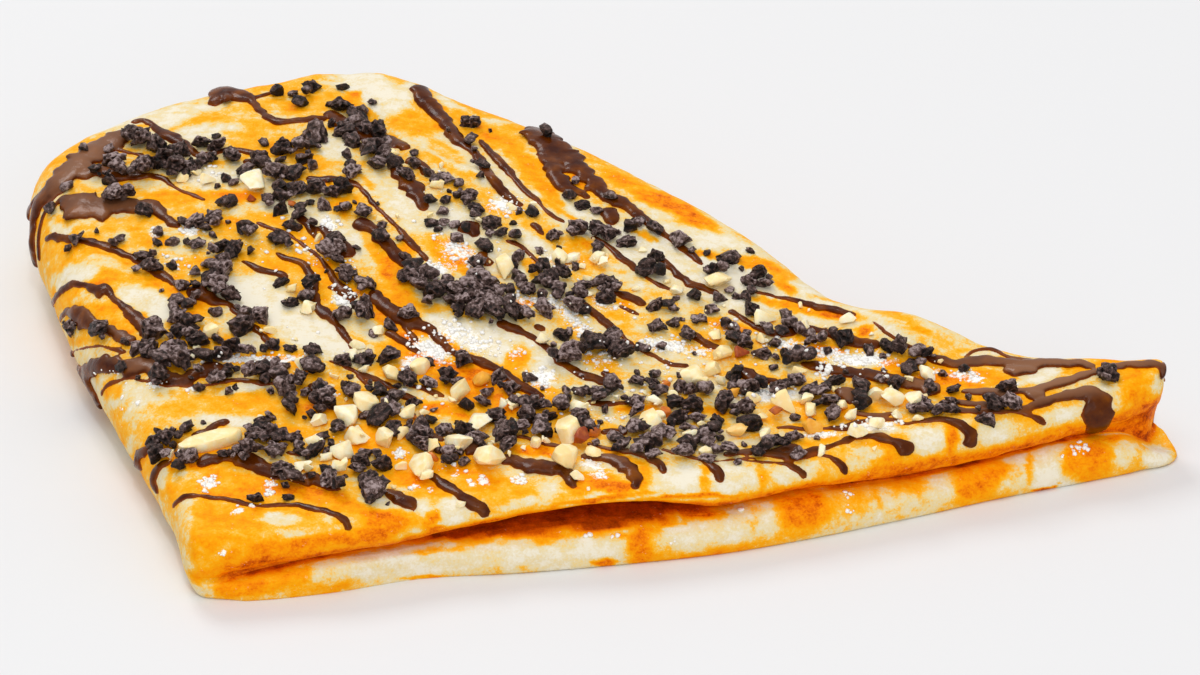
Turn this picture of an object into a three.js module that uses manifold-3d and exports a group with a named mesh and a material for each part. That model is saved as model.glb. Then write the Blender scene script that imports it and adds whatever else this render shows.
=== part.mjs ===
// A thin crepe folded into a long flat wedge, with a chocolate drizzle, cocoa crumbs and chopped nuts on it.
// Millimetres, +Z up. It lies on z = 0 with the origin under the middle of its outline, the narrow tip
// towards +X, the two open lips of the fold towards -Y and the thick closed end towards -X.
// The crepe is one solid: the toppings stick to it, so they are fused to its upper side.
import * as THREE from "three";
import { mergeVertices } from "three/addons/utils/BufferGeometryUtils.js";
import Module from "manifold-3d";

const wasm = await Module();
wasm.setup();
const { degToRad, lerp, clamp } = THREE.MathUtils;

// Stations round the edge, anticlockwise from the front corner of the tip. x and y lie on the edge of the
// upper fold. round is how far its bend reaches inwards, groove the height of the crease below it, depth how
// far the crease goes in, gap how wide it stands open, reach how far the lower lip comes out past the upper
// one. lips is 1 where two lips show and 0 where the edge is one closed fold.
const edgeStations = [
  { x: 88.6, y: -18.4, round: 3.2, groove: 6.2, depth: 2.6, gap: 0.8, reach: 2.4, lips: 1 }, // tip
  { x: 92.8, y: -14.6, round: 2.8, groove: 4.4, depth: 2, gap: 2.4, reach: 3, lips: 1 },
  { x: 93.5, y: -11.2, round: 3, groove: 4.6, depth: 2, gap: 2, reach: 1.2, lips: 1 },
  { x: 86, y: -10.2, round: 3.6, groove: 6, depth: 3, gap: 0.6, reach: 1, lips: 1 },
  { x: 73, y: -6.8, round: 4.5, groove: 6, depth: 3, gap: 0.6, reach: 1, lips: 1 },
  { x: 56, y: 0.4, round: 5.5, groove: 6.5, depth: 4, gap: 0.8, reach: 2, lips: 1 },
  { x: 41.5, y: 6.8, round: 6, groove: 6.5, depth: 4, gap: 0.8, reach: 2, lips: 1 }, // waist
  { x: 31, y: 18.8, round: 6.5, groove: 7, depth: 4, gap: 0.8, reach: 2, lips: 1 },
  { x: 14, y: 34.8, round: 7, groove: 7.5, depth: 4, gap: 0.8, reach: 2, lips: 1 },
  { x: -18, y: 57.4, round: 8, groove: 8, depth: 4, gap: 0.8, reach: 2, lips: 1 },
  { x: -48, y: 68.6, round: 8, groove: 9, depth: 2, gap: 0.3, reach: 1, lips: 0.6 }, // back corner
  { x: -64, y: 65.2, round: 8.5, groove: 9, depth: 0, gap: 0, reach: 0, lips: 0.1 },
  { x: -79, y: 58.2, round: 9, groove: 9, depth: 0, gap: 0, reach: 0, lips: 0 },
  { x: -96, y: 38.2, round: 9, groove: 9, depth: 0, gap: 0, reach: 0, lips: 0 },
  { x: -87.8, y: 6.2, round: 9, groove: 9, depth: 0, gap: 0, reach: 0, lips: 0 },
  { x: -73.4, y: -25.2, round: 8, groove: 7, depth: 0, gap: 0, reach: 0, lips: 0 },
  { x: -58.5, y: -54.2, round: 6, groove: 5, depth: 0, gap: 0, reach: 0, lips: 0 },
  { x: -52.2, y: -67.4, round: 4, groove: 2, depth: 0.6, gap: 0.1, reach: 0.3, lips: 0.4 }, // front corner
  { x: -46, y: -66, round: 5, groove: 3.6, depth: 2, gap: 0.2, reach: 1, lips: 1 },
  { x: -34, y: -62.2, round: 5.5, groove: 5.2, depth: 3, gap: 0.3, reach: 1.8, lips: 1 },
  { x: -21, y: -57.8, round: 5.8, groove: 5.3, depth: 4, gap: 0.6, reach: 1.5, lips: 1 },
  { x: -6, y: -54.2, round: 6, groove: 5.6, depth: 6, gap: 1.5, reach: 3, lips: 1 },
  { x: 14, y: -49.4, round: 6, groove: 5.6, depth: 9, gap: 3.2, reach: 3, lips: 1 }, // open crease
  { x: 36, y: -41.6, round: 5.5, groove: 6.5, depth: 4, gap: 0.6, reach: 3.5, lips: 1 },
  { x: 68, y: -27.2, round: 4.5, groove: 6.8, depth: 3, gap: 0.6, reach: 3, lips: 1 },
];
const middle = { x: -12, y: -2 }; // the whole edge can be seen from here

// The upper side rises from the front lips to the thick back, with these swells on it.
const frontHeight = 15.5;
const riseAlong = -0.01;
const riseAcross = 0.085;
const swells = [
  { x: -40, y: 19, wide: 45, deep: 40, rise: 4.6 }, // the pile of layers
  { x: -38, y: 60, wide: 14, deep: 10, rise: 2 }, // lobe at the back corner
  { x: 92, y: -12, wide: 14, deep: 10, rise: 1.5 }, // lifted tip
  { x: 68, y: -9, wide: 12, deep: 8, rise: -1 }, // hollow behind the tip
  { x: 55, y: -2, wide: 9, deep: 7, rise: 2.2 }, // lobe on the back edge
];

// Rings of the skin: shares of the way from the middle to the bend, degrees round the upper fold from its
// top to the crease, and degrees round a closed fold from its top to its foot.
const stepsPerStation = 3;
const topShares = [0, 0.3, 0.52, 0.7, 0.86];
const lipAngles = [90, 62, 34, 6, -22, -50, -78];
const closedAngles = [90, 73, 57, 40, 23, 7, -10, -22, -38, -52, -66, -78];
const lowerLipEdge = 1.6; // height of the lower lip's thin edge
const lipBend = 0.75; // 1 makes an open lip's bend round, less makes its face steeper

// Chocolate strokes: from and to are plan positions, bow is how far the stroke swings to its left on the
// way, width is its full width, and drop is how far it runs down past the bend at its far end.
const strokes = [
  { from: [-80, -10], to: [-77, 46], bow: 8.5, width: 4.2, drop: 0 },
  { from: [-86, 16], to: [-62, 14], bow: 5, width: 5, drop: 0 },
  { from: [-49, -17], to: [-87, 8], bow: -4.5, width: 2.4, drop: 2 },
  { from: [-43, -24], to: [-72, -25], bow: -2, width: 3.6, drop: 7 },
  { from: [-56, -52], to: [-28, -52], bow: 5, width: 2.4, drop: 0 },
  { from: [-53, -58], to: [-29, -60], bow: 2.5, width: 2, drop: 1 },
  { from: [-67, 55], to: [-47, 48], bow: -2, width: 2.8, drop: 0 },
  { from: [-64, 16], to: [-10, -21], bow: 3.4, width: 2, drop: 0 },
  { from: [-46, 52], to: [-15, 10], bow: -2, width: 5, drop: 0 },
  { from: [-37, -32], to: [-10, -56], bow: -1.5, width: 2.6, drop: 2 },
  { from: [-19, -39], to: [3, -49], bow: 1, width: 2.6, drop: 2.5 },
  { from: [-11, -37], to: [12, -47], bow: 1.5, width: 2.6, drop: 3 },
  { from: [36, -35], to: [63, -31], bow: 4, width: 2.6, drop: 3.5 },
  { from: [52, -22], to: [84, -21], bow: 3, width: 3.4, drop: 5 },
  { from: [47, -3], to: [81, -13], bow: -3, width: 2.2, drop: 0 },
  { from: [33, -12], to: [90, -12], bow: -8, width: 2.2, drop: 2 },
  { from: [-33, 56], to: [-9, 18], bow: 0.5, width: 3, drop: 0 },
  { from: [-12, 47], to: [5, 19], bow: 2.6, width: 5.5, drop: 0 },
  { from: [-5, 16], to: [36, -11], bow: -4, width: 2.2, drop: 0 },
  { from: [-11, -27], to: [46, -27], bow: 2, width: 2.2, drop: 0 },
];
const strokeSteps = 10;
const dropSteps = 3; // the last of them, where the stroke runs down the fold
const strokeSides = 5;
const strokeTallness = 0.42; // height over width

// Heaps of topping in plan: the middle, half length, half width, degrees it is turned and how many pieces.
const crumbHeaps = [
  { x: -42, y: 46, long: 14, wide: 4, turn: -65, count: 5 },
  { x: -72, y: 36, long: 13, wide: 6, turn: 0, count: 4 },
  { x: -47, y: 27, long: 12, wide: 8, turn: 0, count: 5 },
  { x: -58, y: 9, long: 9, wide: 8, turn: 0, count: 4 },
  { x: -61, y: -3, long: 10, wide: 6, turn: 0, count: 3 },
  { x: -40, y: -2, long: 9, wide: 7, turn: 0, count: 3 },
  { x: -18, y: -2, long: 11, wide: 5, turn: -10, count: 4 },
  { x: -20, y: 19, long: 7, wide: 6, turn: 0, count: 3 },
  { x: 3, y: 20, long: 11, wide: 6, turn: -20, count: 4 },
  { x: 1, y: -4, long: 8, wide: 9, turn: 0, count: 3 },
  { x: 20, y: 3, long: 10, wide: 9, turn: 0, count: 4 },
  { x: -56, y: -17, long: 16, wide: 6, turn: -10, count: 5 },
  { x: -34, y: -22, long: 14, wide: 7, turn: 0, count: 4 },
  { x: 3, y: -26, long: 22, wide: 5, turn: 8, count: 6 },
  { x: -52, y: -42, long: 13, wide: 4, turn: 10, count: 3 },
  { x: -35, y: -48, long: 9, wide: 4, turn: 0, count: 3 },
  { x: 44, y: -11, long: 11, wide: 3, turn: -5, count: 3 },
  { x: 48, y: -23, long: 16, wide: 5, turn: 10, count: 4 },
];
const nutHeaps = [
  { x: -33, y: -38, long: 9, wide: 8, turn: 0, count: 5 },
  { x: -6, y: -37, long: 15, wide: 7, turn: 0, count: 6 },
  { x: 20, y: -16, long: 11, wide: 5, turn: 0, count: 4 },
  { x: 27, y: -29, long: 12, wide: 5, turn: 10, count: 3 },
  { x: 51, y: -21, long: 6, wide: 4, turn: 0, count: 3 },
  { x: 0, y: 8, long: 16, wide: 5, turn: 0, count: 2 },
  { x: -60, y: 26, long: 7, wide: 2, turn: 0, count: 1 },
  { x: -26, y: -23, long: 5, wide: 4, turn: 0, count: 2 },
];
const crumb = { smallest: 2.8, largest: 4.2, flatness: 0.62, spacing: 2.9, seed: 11 };
const nut = { smallest: 2.8, largest: 4.6, flatness: 0.6, spacing: 3.2, seed: 29 };
const toppingMargin = 5.5; // topping pieces keep this far inside the edge

const finish = { color: 0xf0b85a, roughness: 0.62, metalness: 0 };

const stationCount = edgeStations.length;
const chords = edgeStations.map((station, i) => {
  const next = edgeStations[(i + 1) % stationCount];
  return Math.hypot(next.x - station.x, next.y - station.y);
});

// How fast a value changes along the edge at a station, from the chords on both sides of it.
function slopeAt(i, key) {
  const before = (i - 1 + stationCount) % stationCount;
  const after = (i + 1) % stationCount;
  const into = (edgeStations[i][key] - edgeStations[before][key]) / chords[before];
  const outOf = (edgeStations[after][key] - edgeStations[i][key]) / chords[i];
  return (into * chords[i] + outOf * chords[before]) / (chords[i] + chords[before]);
}

// The station values at s, which counts stations round the closed edge, on a smooth curve through them.
function stationAt(s) {
  const i = Math.floor(s) % stationCount;
  const j = (i + 1) % stationCount;
  const t = s - Math.floor(s);
  const value = {};
  for (const key of Object.keys(edgeStations[i])) {
    const [a, b] = [edgeStations[i][key], edgeStations[j][key]];
    const slopeOut = slopeAt(i, key) * chords[i];
    const slopeIn = slopeAt(j, key) * chords[i];
    const cubic = 2 * a - 2 * b + slopeOut + slopeIn;
    const square = -3 * a + 3 * b - 2 * slopeOut - slopeIn;
    value[key] = ((cubic * t + square) * t + slopeOut) * t + a;
  }
  value.lips = clamp(value.lips, 0, 1);
  return value;
}

// The plan direction out of the edge at s.
function outwardAt(s) {
  const step = 1e-3;
  const before = stationAt((s - step + stationCount) % stationCount);
  const after = stationAt((s + step) % stationCount);
  return new THREE.Vector2(after.y - before.y, before.x - after.x).normalize();
}

function topHeight(x, y) {
  const slope = frontHeight + riseAlong * x + riseAcross * y;
  return swells.reduce(
    (height, w) => height + w.rise * Math.exp(-(((x - w.x) / w.wide) ** 2) - ((y - w.y) / w.deep) ** 2),
    slope,
  );
}

// Everything that one place on the edge needs: its values, its outward direction and its height.
function edgeAt(s) {
  const station = stationAt(s);
  const outward = outwardAt(s);
  const bend = new THREE.Vector2(station.x, station.y).addScaledVector(outward, -station.round);
  return { ...station, outward, bend, height: topHeight(bend.x, bend.y) };
}

// How far in the cosine of a fold's angle reaches, and the angle at which it reaches that far.
const bendAt = (edge) => lerp(1, lipBend, edge.lips);
const swingAt = (edge, angle) => Math.max(0, Math.cos(angle)) ** bendAt(edge);
const angleOf = (edge, inside) => Math.acos(clamp(1 - inside / edge.round, 0, 1) ** (1 / bendAt(edge)));

// A point of the upper fold: out is its offset from the edge, and lips blends the two kinds of fold.
function foldPoint(edge, lip, closed) {
  const lipRadius = (edge.height - edge.groove - edge.gap) / 2;
  const closedRadius = edge.height / 2;
  return {
    out: edge.round * (lerp(swingAt(edge, closed), swingAt(edge, lip), edge.lips) - 1),
    up: lerp(
      closedRadius * (1 + Math.sin(closed)),
      edge.height - lipRadius * (1 - Math.sin(lip)),
      edge.lips,
    ),
  };
}

// A point of the crease and the lower lip, or of the lower half of a closed fold.
function lowerPoint(edge, index) {
  const lip = [
    { out: -edge.depth, up: edge.groove + edge.gap / 2 },
    { out: -edge.depth / 2, up: edge.groove },
    { out: edge.reach * 0.2, up: edge.groove - 1 },
    { out: edge.reach, up: lowerLipEdge },
    { out: edge.reach, up: 0 },
  ][index];
  const angle = degToRad(closedAngles[lipAngles.length + index]);
  const closedUp = (edge.height / 2) * (1 + Math.sin(angle));
  return {
    out: lerp(edge.round * (swingAt(edge, angle) - 1), lip.out, edge.lips),
    up: index === 4 ? 0 : lerp(closedUp, lip.up, edge.lips),
  };
}

function placeOnEdge(edge, { out, up }) {
  return new THREE.Vector3(edge.x + edge.outward.x * out, edge.y + edge.outward.y * out, up);
}

// The edge place nearest to a plan point, and how far inside the edge the point lies, 0 if it is past it.
function nearestEdge(x, y) {
  let best = { s: 0, inside: Infinity };
  const look = (s) => {
    const station = stationAt((s + stationCount) % stationCount);
    const inside = Math.hypot(station.x - x, station.y - y);
    if (inside < best.inside) best = { s: (s + stationCount) % stationCount, inside };
  };
  for (let i = 0; i < stationCount * 10; i++) look(i / 10);
  const coarse = best.s;
  for (let i = -10; i <= 10; i++) look(coarse + i / 100);
  const station = stationAt(best.s);
  const past = outwardAt(best.s).dot(new THREE.Vector2(x - station.x, y - station.y));
  return { s: best.s, inside: past > 0 ? 0 : best.inside };
}

// The height of the skin over a plan point, also where it bends down near the edge.
function skinHeight(x, y) {
  const { s, inside } = nearestEdge(x, y);
  const edge = edgeAt(s);
  if (inside >= edge.round) return topHeight(x, y);
  const angle = angleOf(edge, inside);
  return foldPoint(edge, angle, angle).up;
}

function skinNormal(x, y) {
  const step = 0.4;
  const slopeX = (skinHeight(x + step, y) - skinHeight(x - step, y)) / (2 * step);
  const slopeY = (skinHeight(x, y + step) - skinHeight(x, y - step)) / (2 * step);
  return new THREE.Vector3(-slopeX, -slopeY, 1).normalize();
}

function toSolid(geometry) {
  geometry.deleteAttribute("normal");
  geometry.deleteAttribute("uv");
  const merged = mergeVertices(geometry);
  return new wasm.Manifold(
    new wasm.Mesh({
      numProp: 3,
      vertProperties: new Float32Array(merged.attributes.position.array),
      triVerts: new Uint32Array(merged.index.array),
    }),
  );
}

// A sphere with each vertex moved to place(turn, row): turn runs once round, row from pole to pole.
function mouldedSphere(around, rows, place) {
  const geometry = new THREE.SphereGeometry(1, around, rows);
  const { position, uv } = geometry.attributes;
  for (let i = 0; i < position.count; i++) {
    const row = Math.round((1 - uv.getY(i)) * rows);
    const atPole = row === 0 || row === rows;
    position.setXYZ(i, ...place(atPole ? 0 : uv.getX(i) % 1, row));
  }
  return toSolid(geometry);
}

function makeCrepe() {
  const lowerCount = closedAngles.length - lipAngles.length;
  const rows = topShares.length + lipAngles.length + lowerCount;
  return mouldedSphere(stationCount * stepsPerStation, rows, (turn, row) => {
    if (row === rows) return new THREE.Vector3(middle.x, middle.y, 0);
    const edge = edgeAt(turn * stationCount);
    if (row < topShares.length) {
      const x = lerp(middle.x, edge.bend.x, topShares[row]);
      const y = lerp(middle.y, edge.bend.y, topShares[row]);
      return new THREE.Vector3(x, y, topHeight(x, y));
    }
    const step = row - topShares.length;
    if (step < lipAngles.length) {
      return placeOnEdge(edge, foldPoint(edge, degToRad(lipAngles[step]), degToRad(closedAngles[step])));
    }
    return placeOnEdge(edge, lowerPoint(edge, step - lipAngles.length));
  });
}

// The points of a stroke with the skin's normal at each: a bowed line in plan, then down the fold.
function strokePath({ from, to, bow, drop }) {
  const start = new THREE.Vector2(...from);
  const end = new THREE.Vector2(...to);
  const left = end.clone().sub(start).rotateAround(new THREE.Vector2(), Math.PI / 2).normalize();
  const path = [];
  const flatSteps = drop > 0 ? strokeSteps - dropSteps : strokeSteps;
  for (let i = 0; i <= flatSteps; i++) {
    const t = i / flatSteps;
    const plan = start.clone().lerp(end, t).addScaledVector(left, bow * 4 * t * (1 - t));
    const normal = skinNormal(plan.x, plan.y);
    path.push({ point: new THREE.Vector3(plan.x, plan.y, skinHeight(plan.x, plan.y)), normal });
  }
  if (drop > 0) {
    const { s, inside } = nearestEdge(end.x, end.y);
    const edge = edgeAt(s);
    const startAngle = angleOf(edge, inside);
    const radius = (edge.round + edge.height / 3) / 2;
    for (let i = 1; i <= strokeSteps - flatSteps; i++) {
      const angle = startAngle - ((drop / radius) * i) / (strokeSteps - flatSteps);
      const normal = new THREE.Vector3(edge.outward.x, edge.outward.y, 0)
        .multiplyScalar(Math.cos(angle))
        .setZ(Math.sin(angle));
      path.push({ point: placeOnEdge(edge, foldPoint(edge, angle, angle)), normal });
    }
  }
  return path;
}

function makeStroke(stroke) {
  const path = strokePath(stroke);
  const last = path.length - 1;
  const sunk = 0.3;
  return mouldedSphere(strokeSides, last, (turn, row) => {
    const { point, normal } = path[row];
    const ahead = path[Math.min(row + 1, last)].point;
    const behind = path[Math.max(row - 1, 0)].point;
    const along = ahead.clone().sub(behind).normalize();
    const side = along.clone().cross(normal).normalize();
    const end = Math.min(row, last - row);
    const swell = end === 0 ? 0 : clamp(0.75 + 0.25 * end, 0, 1);
    const angle = turn * Math.PI * 2;
    return point
      .clone()
      .addScaledVector(side, (Math.cos(angle) * swell * stroke.width) / 2)
      .addScaledVector(normal, (Math.sin(angle) - sunk) * swell * stroke.width * strokeTallness);
  });
}

// A repeatable random draw from 0 to 1.
function drawFrom(seed) {
  let state = seed;
  return () => {
    state = (state + 0x6d2b79f5) | 0;
    let t = Math.imul(state ^ (state >>> 15), 1 | state);
    t = (t + Math.imul(t ^ (t >>> 7), 61 | t)) ^ t;
    return ((t ^ (t >>> 14)) >>> 0) / 4294967296;
  };
}

// A chipped lump: an icosahedron with its corners pushed in and out, flattened and turned.
function makeLump(x, y, size, flatness, draw) {
  const geometry = new THREE.IcosahedronGeometry(1, 0);
  geometry.deleteAttribute("normal");
  geometry.deleteAttribute("uv");
  const lump = mergeVertices(geometry);
  const { position } = lump.attributes;
  for (let i = 0; i < position.count; i++) {
    const corner = new THREE.Vector3().fromBufferAttribute(position, i);
    position.setXYZ(i, ...corner.multiplyScalar(lerp(0.72, 1.12, draw())));
  }
  lump.scale(size / 2, (size / 2) * lerp(0.6, 0.9, draw()), (size / 2) * flatness);
  lump.rotateX((draw() - 0.5) * 0.8);
  lump.rotateZ(draw() * Math.PI * 2);
  lump.translate(x, y, skinHeight(x, y) + size * flatness * 0.3);
  return toSolid(lump);
}

// Pieces of one kind over its heaps, the largest first, none closer to another than the spacing.
function makeLumps(heaps, kind) {
  const draw = drawFrom(kind.seed);
  const placed = [];
  for (const heap of heaps) {
    const turn = degToRad(heap.turn);
    for (let made = 0, tries = 0; made < heap.count && tries < 200; tries++) {
      const reach = Math.sqrt(draw());
      const around = draw() * Math.PI * 2;
      const offset = new THREE.Vector2(heap.long * reach, 0).multiplyScalar(Math.cos(around));
      offset.y = heap.wide * reach * Math.sin(around);
      offset.rotateAround(new THREE.Vector2(), turn);
      const [x, y] = [heap.x + offset.x, heap.y + offset.y];
      const size = lerp(kind.largest, kind.smallest, made / heap.count);
      const crowded = placed.some((p) => Math.hypot(p.x - x, p.y - y) < kind.spacing);
      if (crowded || nearestEdge(x, y).inside < toppingMargin) continue;
      placed.push({ x, y, size });
      made++;
    }
  }
  return placed.map(({ x, y, size }) => makeLump(x, y, size, kind.flatness, draw));
}

// The outer skin of the joined solid, without any loose scrap or sealed pocket between the pieces.
function joinToCrepe(body, toppings) {
  const joined = toppings.reduce((whole, piece) => whole.add(piece), body);
  return joined.decompose().reduce((a, b) => (b.volume() > a.volume() ? b : a));
}

function toGeometry(solid) {
  const mesh = solid.getMesh();
  return new THREE.BufferGeometry()
    .setAttribute("position", new THREE.BufferAttribute(mesh.vertProperties, 3))
    .setIndex(new THREE.BufferAttribute(mesh.triVerts, 1));
}

const toppings = [
  ...strokes.map(makeStroke),
  ...makeLumps(crumbHeaps, crumb),
  ...makeLumps(nutHeaps, nut),
];
const crepe = new THREE.Mesh(
  toGeometry(joinToCrepe(makeCrepe(), toppings)),
  new THREE.MeshStandardMaterial(finish),
);
crepe.name = "crepe";
crepe.geometry.computeVertexNormals();

const part = new THREE.Group();
part.add(crepe);
export default part;
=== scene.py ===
import bpy
import math
import random
import numpy as np
from mathutils import Matrix, Vector, noise
from mathutils.bvhtree import BVHTree


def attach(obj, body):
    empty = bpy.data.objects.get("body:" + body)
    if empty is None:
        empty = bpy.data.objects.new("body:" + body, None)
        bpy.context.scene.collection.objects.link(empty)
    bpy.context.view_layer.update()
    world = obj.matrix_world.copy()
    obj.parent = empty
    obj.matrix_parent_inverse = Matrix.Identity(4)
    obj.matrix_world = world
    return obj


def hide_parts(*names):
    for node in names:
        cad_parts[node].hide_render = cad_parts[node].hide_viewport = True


# A folded crepe: the crepe itself, its chocolate drizzle, cocoa crumbs, chopped nuts and icing sugar.
# Values are in millimetres and degrees, and become metres where a mesh is made.
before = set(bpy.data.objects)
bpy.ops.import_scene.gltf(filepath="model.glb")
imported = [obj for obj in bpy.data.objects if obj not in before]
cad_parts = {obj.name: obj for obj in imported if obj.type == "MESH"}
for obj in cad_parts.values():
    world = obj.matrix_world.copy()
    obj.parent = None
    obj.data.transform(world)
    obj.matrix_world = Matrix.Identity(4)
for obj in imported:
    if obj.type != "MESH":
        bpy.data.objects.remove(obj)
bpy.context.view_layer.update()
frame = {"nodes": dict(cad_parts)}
mm = 0.001
print("frame loaded, nodes:", ", ".join(frame["nodes"]))


def linearColor(hexValue):
    channels = [int(hexValue[i:i + 2], 16) / 255 for i in (1, 3, 5)]
    return [c / 12.92 if c <= 0.04045 else ((c + 0.055) / 1.055) ** 2.4 for c in channels] + [1.0]


def addNode(tree, kind, inputs=None, stops=None, out=0, **settings):
    # one shader node: settings are its properties, inputs are values or sockets to link, stops fill a ramp,
    # and what comes back is the output that the next node takes
    node = tree.nodes.new("ShaderNode" + kind)
    for name, value in settings.items():
        setattr(node, name, value)
    for socket, value in (inputs or {}).items():
        if isinstance(value, bpy.types.NodeSocket):
            tree.links.new(value, node.inputs[socket])
        else:
            node.inputs[socket].default_value = value
    if stops:
        ramp = node.color_ramp
        while len(ramp.elements) < len(stops):
            ramp.elements.new(0.5)
        for element, (place, color) in zip(ramp.elements, stops):
            element.position = place
            element.color = linearColor(color) if isinstance(color, str) else (color,) * 3 + (1.0,)
    return node.outputs[out]


def newMaterial(name, values):
    material = bpy.data.materials.new(name)
    material.use_nodes = True
    tree = material.node_tree
    shader = tree.nodes["Principled BSDF"]
    for socket, value in values.items():
        shader.inputs[socket].default_value = value
    return material, tree, shader


def linkFinish(tree, shader, color, height, strength, distance):
    # the colour and a bump of that height go to the shader, the bump's distance in mm
    tree.links.new(color, shader.inputs["Base Color"])
    bump = addNode(tree, "Bump", {"Height": height, "Strength": strength, "Distance": distance * mm})
    tree.links.new(bump, shader.inputs["Normal"])


def deselectAll():
    if bpy.context.object and bpy.context.object.mode != "OBJECT":
        bpy.ops.object.mode_set(mode="OBJECT")
    bpy.ops.object.select_all(action="DESELECT")


def makeActive(piece):
    deselectAll()
    piece.select_set(True)
    bpy.context.view_layer.objects.active = piece


def applyModifier(piece, name, kind, **settings):
    makeActive(piece)
    modifier = piece.modifiers.new(name, kind)
    for key, value in settings.items():
        setattr(modifier, key, value)
    bpy.ops.object.modifier_apply(modifier=modifier.name)


def writeAttribute(piece, name, values):
    layer = piece.data.attributes.new(name, "FLOAT", "POINT")
    layer.data.foreach_set("value", np.asarray(values, np.float32))


def readAttribute(piece, name):
    values = np.empty(len(piece.data.vertices))
    piece.data.attributes[name].data.foreach_get("value", values)
    return values


def vertexArray(piece):
    values = np.empty(len(piece.data.vertices) * 3)
    piece.data.vertices.foreach_get("co", values)
    return values.reshape(-1, 3) / mm


def normalArray(piece):
    values = np.empty(len(piece.data.vertices) * 3)
    piece.data.vertex_normals.foreach_get("vector", values)
    return values.reshape(-1, 3)


def wrapGrid(name, turns, rows, place, marked=False):
    # a flat grid wrapped into a closed form: place(turn, fall) takes 0..1 round it and 0..1 from pole to pole
    deselectAll()
    bpy.ops.mesh.primitive_grid_add(x_subdivisions=turns, y_subdivisions=rows, size=1)
    piece = bpy.context.object
    piece.name = name
    if marked:
        writeAttribute(piece, "turn", [(v.co.x + 0.5) % 1.0 for v in piece.data.vertices])
        writeAttribute(piece, "fall", [v.co.y + 0.5 for v in piece.data.vertices])
    for vertex in piece.data.vertices:
        vertex.co = place((vertex.co.x + 0.5) % 1.0, vertex.co.y + 0.5)
    bpy.ops.object.mode_set(mode="EDIT")
    bpy.ops.mesh.select_all(action="SELECT")
    bpy.ops.mesh.remove_doubles(threshold=1e-6)
    bpy.ops.mesh.normals_make_consistent(inside=False)
    bpy.ops.object.mode_set(mode="OBJECT")
    return piece


def joinPieces(name, pieces):
    deselectAll()
    for piece in pieces:
        piece.select_set(True)
    bpy.context.view_layer.objects.active = pieces[0]
    bpy.ops.object.join()
    pieces[0].name = name
    return pieces[0]


def finishPiece(piece, material, smoothAngle=180):
    # smooth shading over edges flatter than the angle, which is none at 0
    piece.data.materials.clear()
    piece.data.materials.append(material)
    makeActive(piece)
    if smoothAngle == 180:
        bpy.ops.object.shade_smooth()
    elif smoothAngle > 0:
        bpy.ops.object.shade_smooth_by_angle(angle=math.radians(smoothAngle))
    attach(piece, "root")
    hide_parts("crepe")
    print(piece.name, "-", len(piece.data.polygons), "faces")


viewValues = {
    "target": (2.0, 15.8, 0.0),
    "turn": 4.0,
    "tilt": 30.0,
    "away": 700.0,
    "lens": 126.0,
    "sensor": 36.0,
    "nearest": 20.0,
    "frame": (1200, 675),  # the picture's pixels, in which all pixel coordinates are given
}

stageValues = {
    "floorSize": 8.0,  # metres
    "floorColor": "#e6e6e7",
    "worldColor": "#ffffff",
    "worldStrength": 0.62,
}

# azimuth, elevation, metres away, metres wide and watts of each lamp
lightValues = {
    "windowBehind": (-150, 48, 1.6, 0.5, 7.0),
    "softboxOverhead": (-40, 78, 1.6, 1.0, 5.0),
    "fillFront": (20, 22, 1.6, 0.9, 4.2),
    "glossFront": (10, 58, 1.4, 0.09, 2.0),
}


def directionOf(azimuth, elevation):
    turn, tilt = math.radians(azimuth), math.radians(elevation)
    return Vector((math.sin(turn) * math.cos(tilt), -math.cos(turn) * math.cos(tilt), math.sin(tilt)))


def makeCamera(values):
    back = directionOf(values["turn"], values["tilt"])
    place = (Vector(values["target"]) + back * values["away"]) * mm
    bpy.ops.object.camera_add(location=place, rotation=(-back).to_track_quat("-Z", "Y").to_euler())
    camera = bpy.context.object
    camera.data.lens = values["lens"]
    camera.data.sensor_width = values["sensor"]
    camera.data.clip_start = values["nearest"] * mm
    bpy.context.scene.camera = camera


def makeStage(values):
    bpy.ops.mesh.primitive_plane_add(size=values["floorSize"], location=(0, 0, 0))
    floor = bpy.context.object
    floor.name = "paleFloor"
    material, tree, shader = newMaterial("matte studio floor", {
        "Base Color": linearColor(values["floorColor"]), "Roughness": 0.9, "Specular IOR Level": 0.1})
    floor.data.materials.append(material)
    world = bpy.data.worlds.new("studio")
    world.use_nodes = True
    background = world.node_tree.nodes["Background"]
    background.inputs["Color"].default_value = linearColor(values["worldColor"])
    background.inputs["Strength"].default_value = values["worldStrength"]
    bpy.context.scene.world = world


def makeLights(values):
    middle = Vector((0, 0, 10 * mm))
    for name, (azimuth, elevation, away, wide, watts) in values.items():
        direction = directionOf(azimuth, elevation)
        bpy.ops.object.light_add(type="AREA", location=middle + direction * away,
                                 rotation=direction.to_track_quat("Z", "Y").to_euler())
        light = bpy.context.object
        light.name = name
        light.data.size = wide
        light.data.energy = watts


deselectAll()
makeCamera(viewValues)
makeStage(stageValues)
makeLights(lightValues)
bpy.context.scene.view_settings.view_transform = "Standard"
print("camera, floor and lights made")


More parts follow.
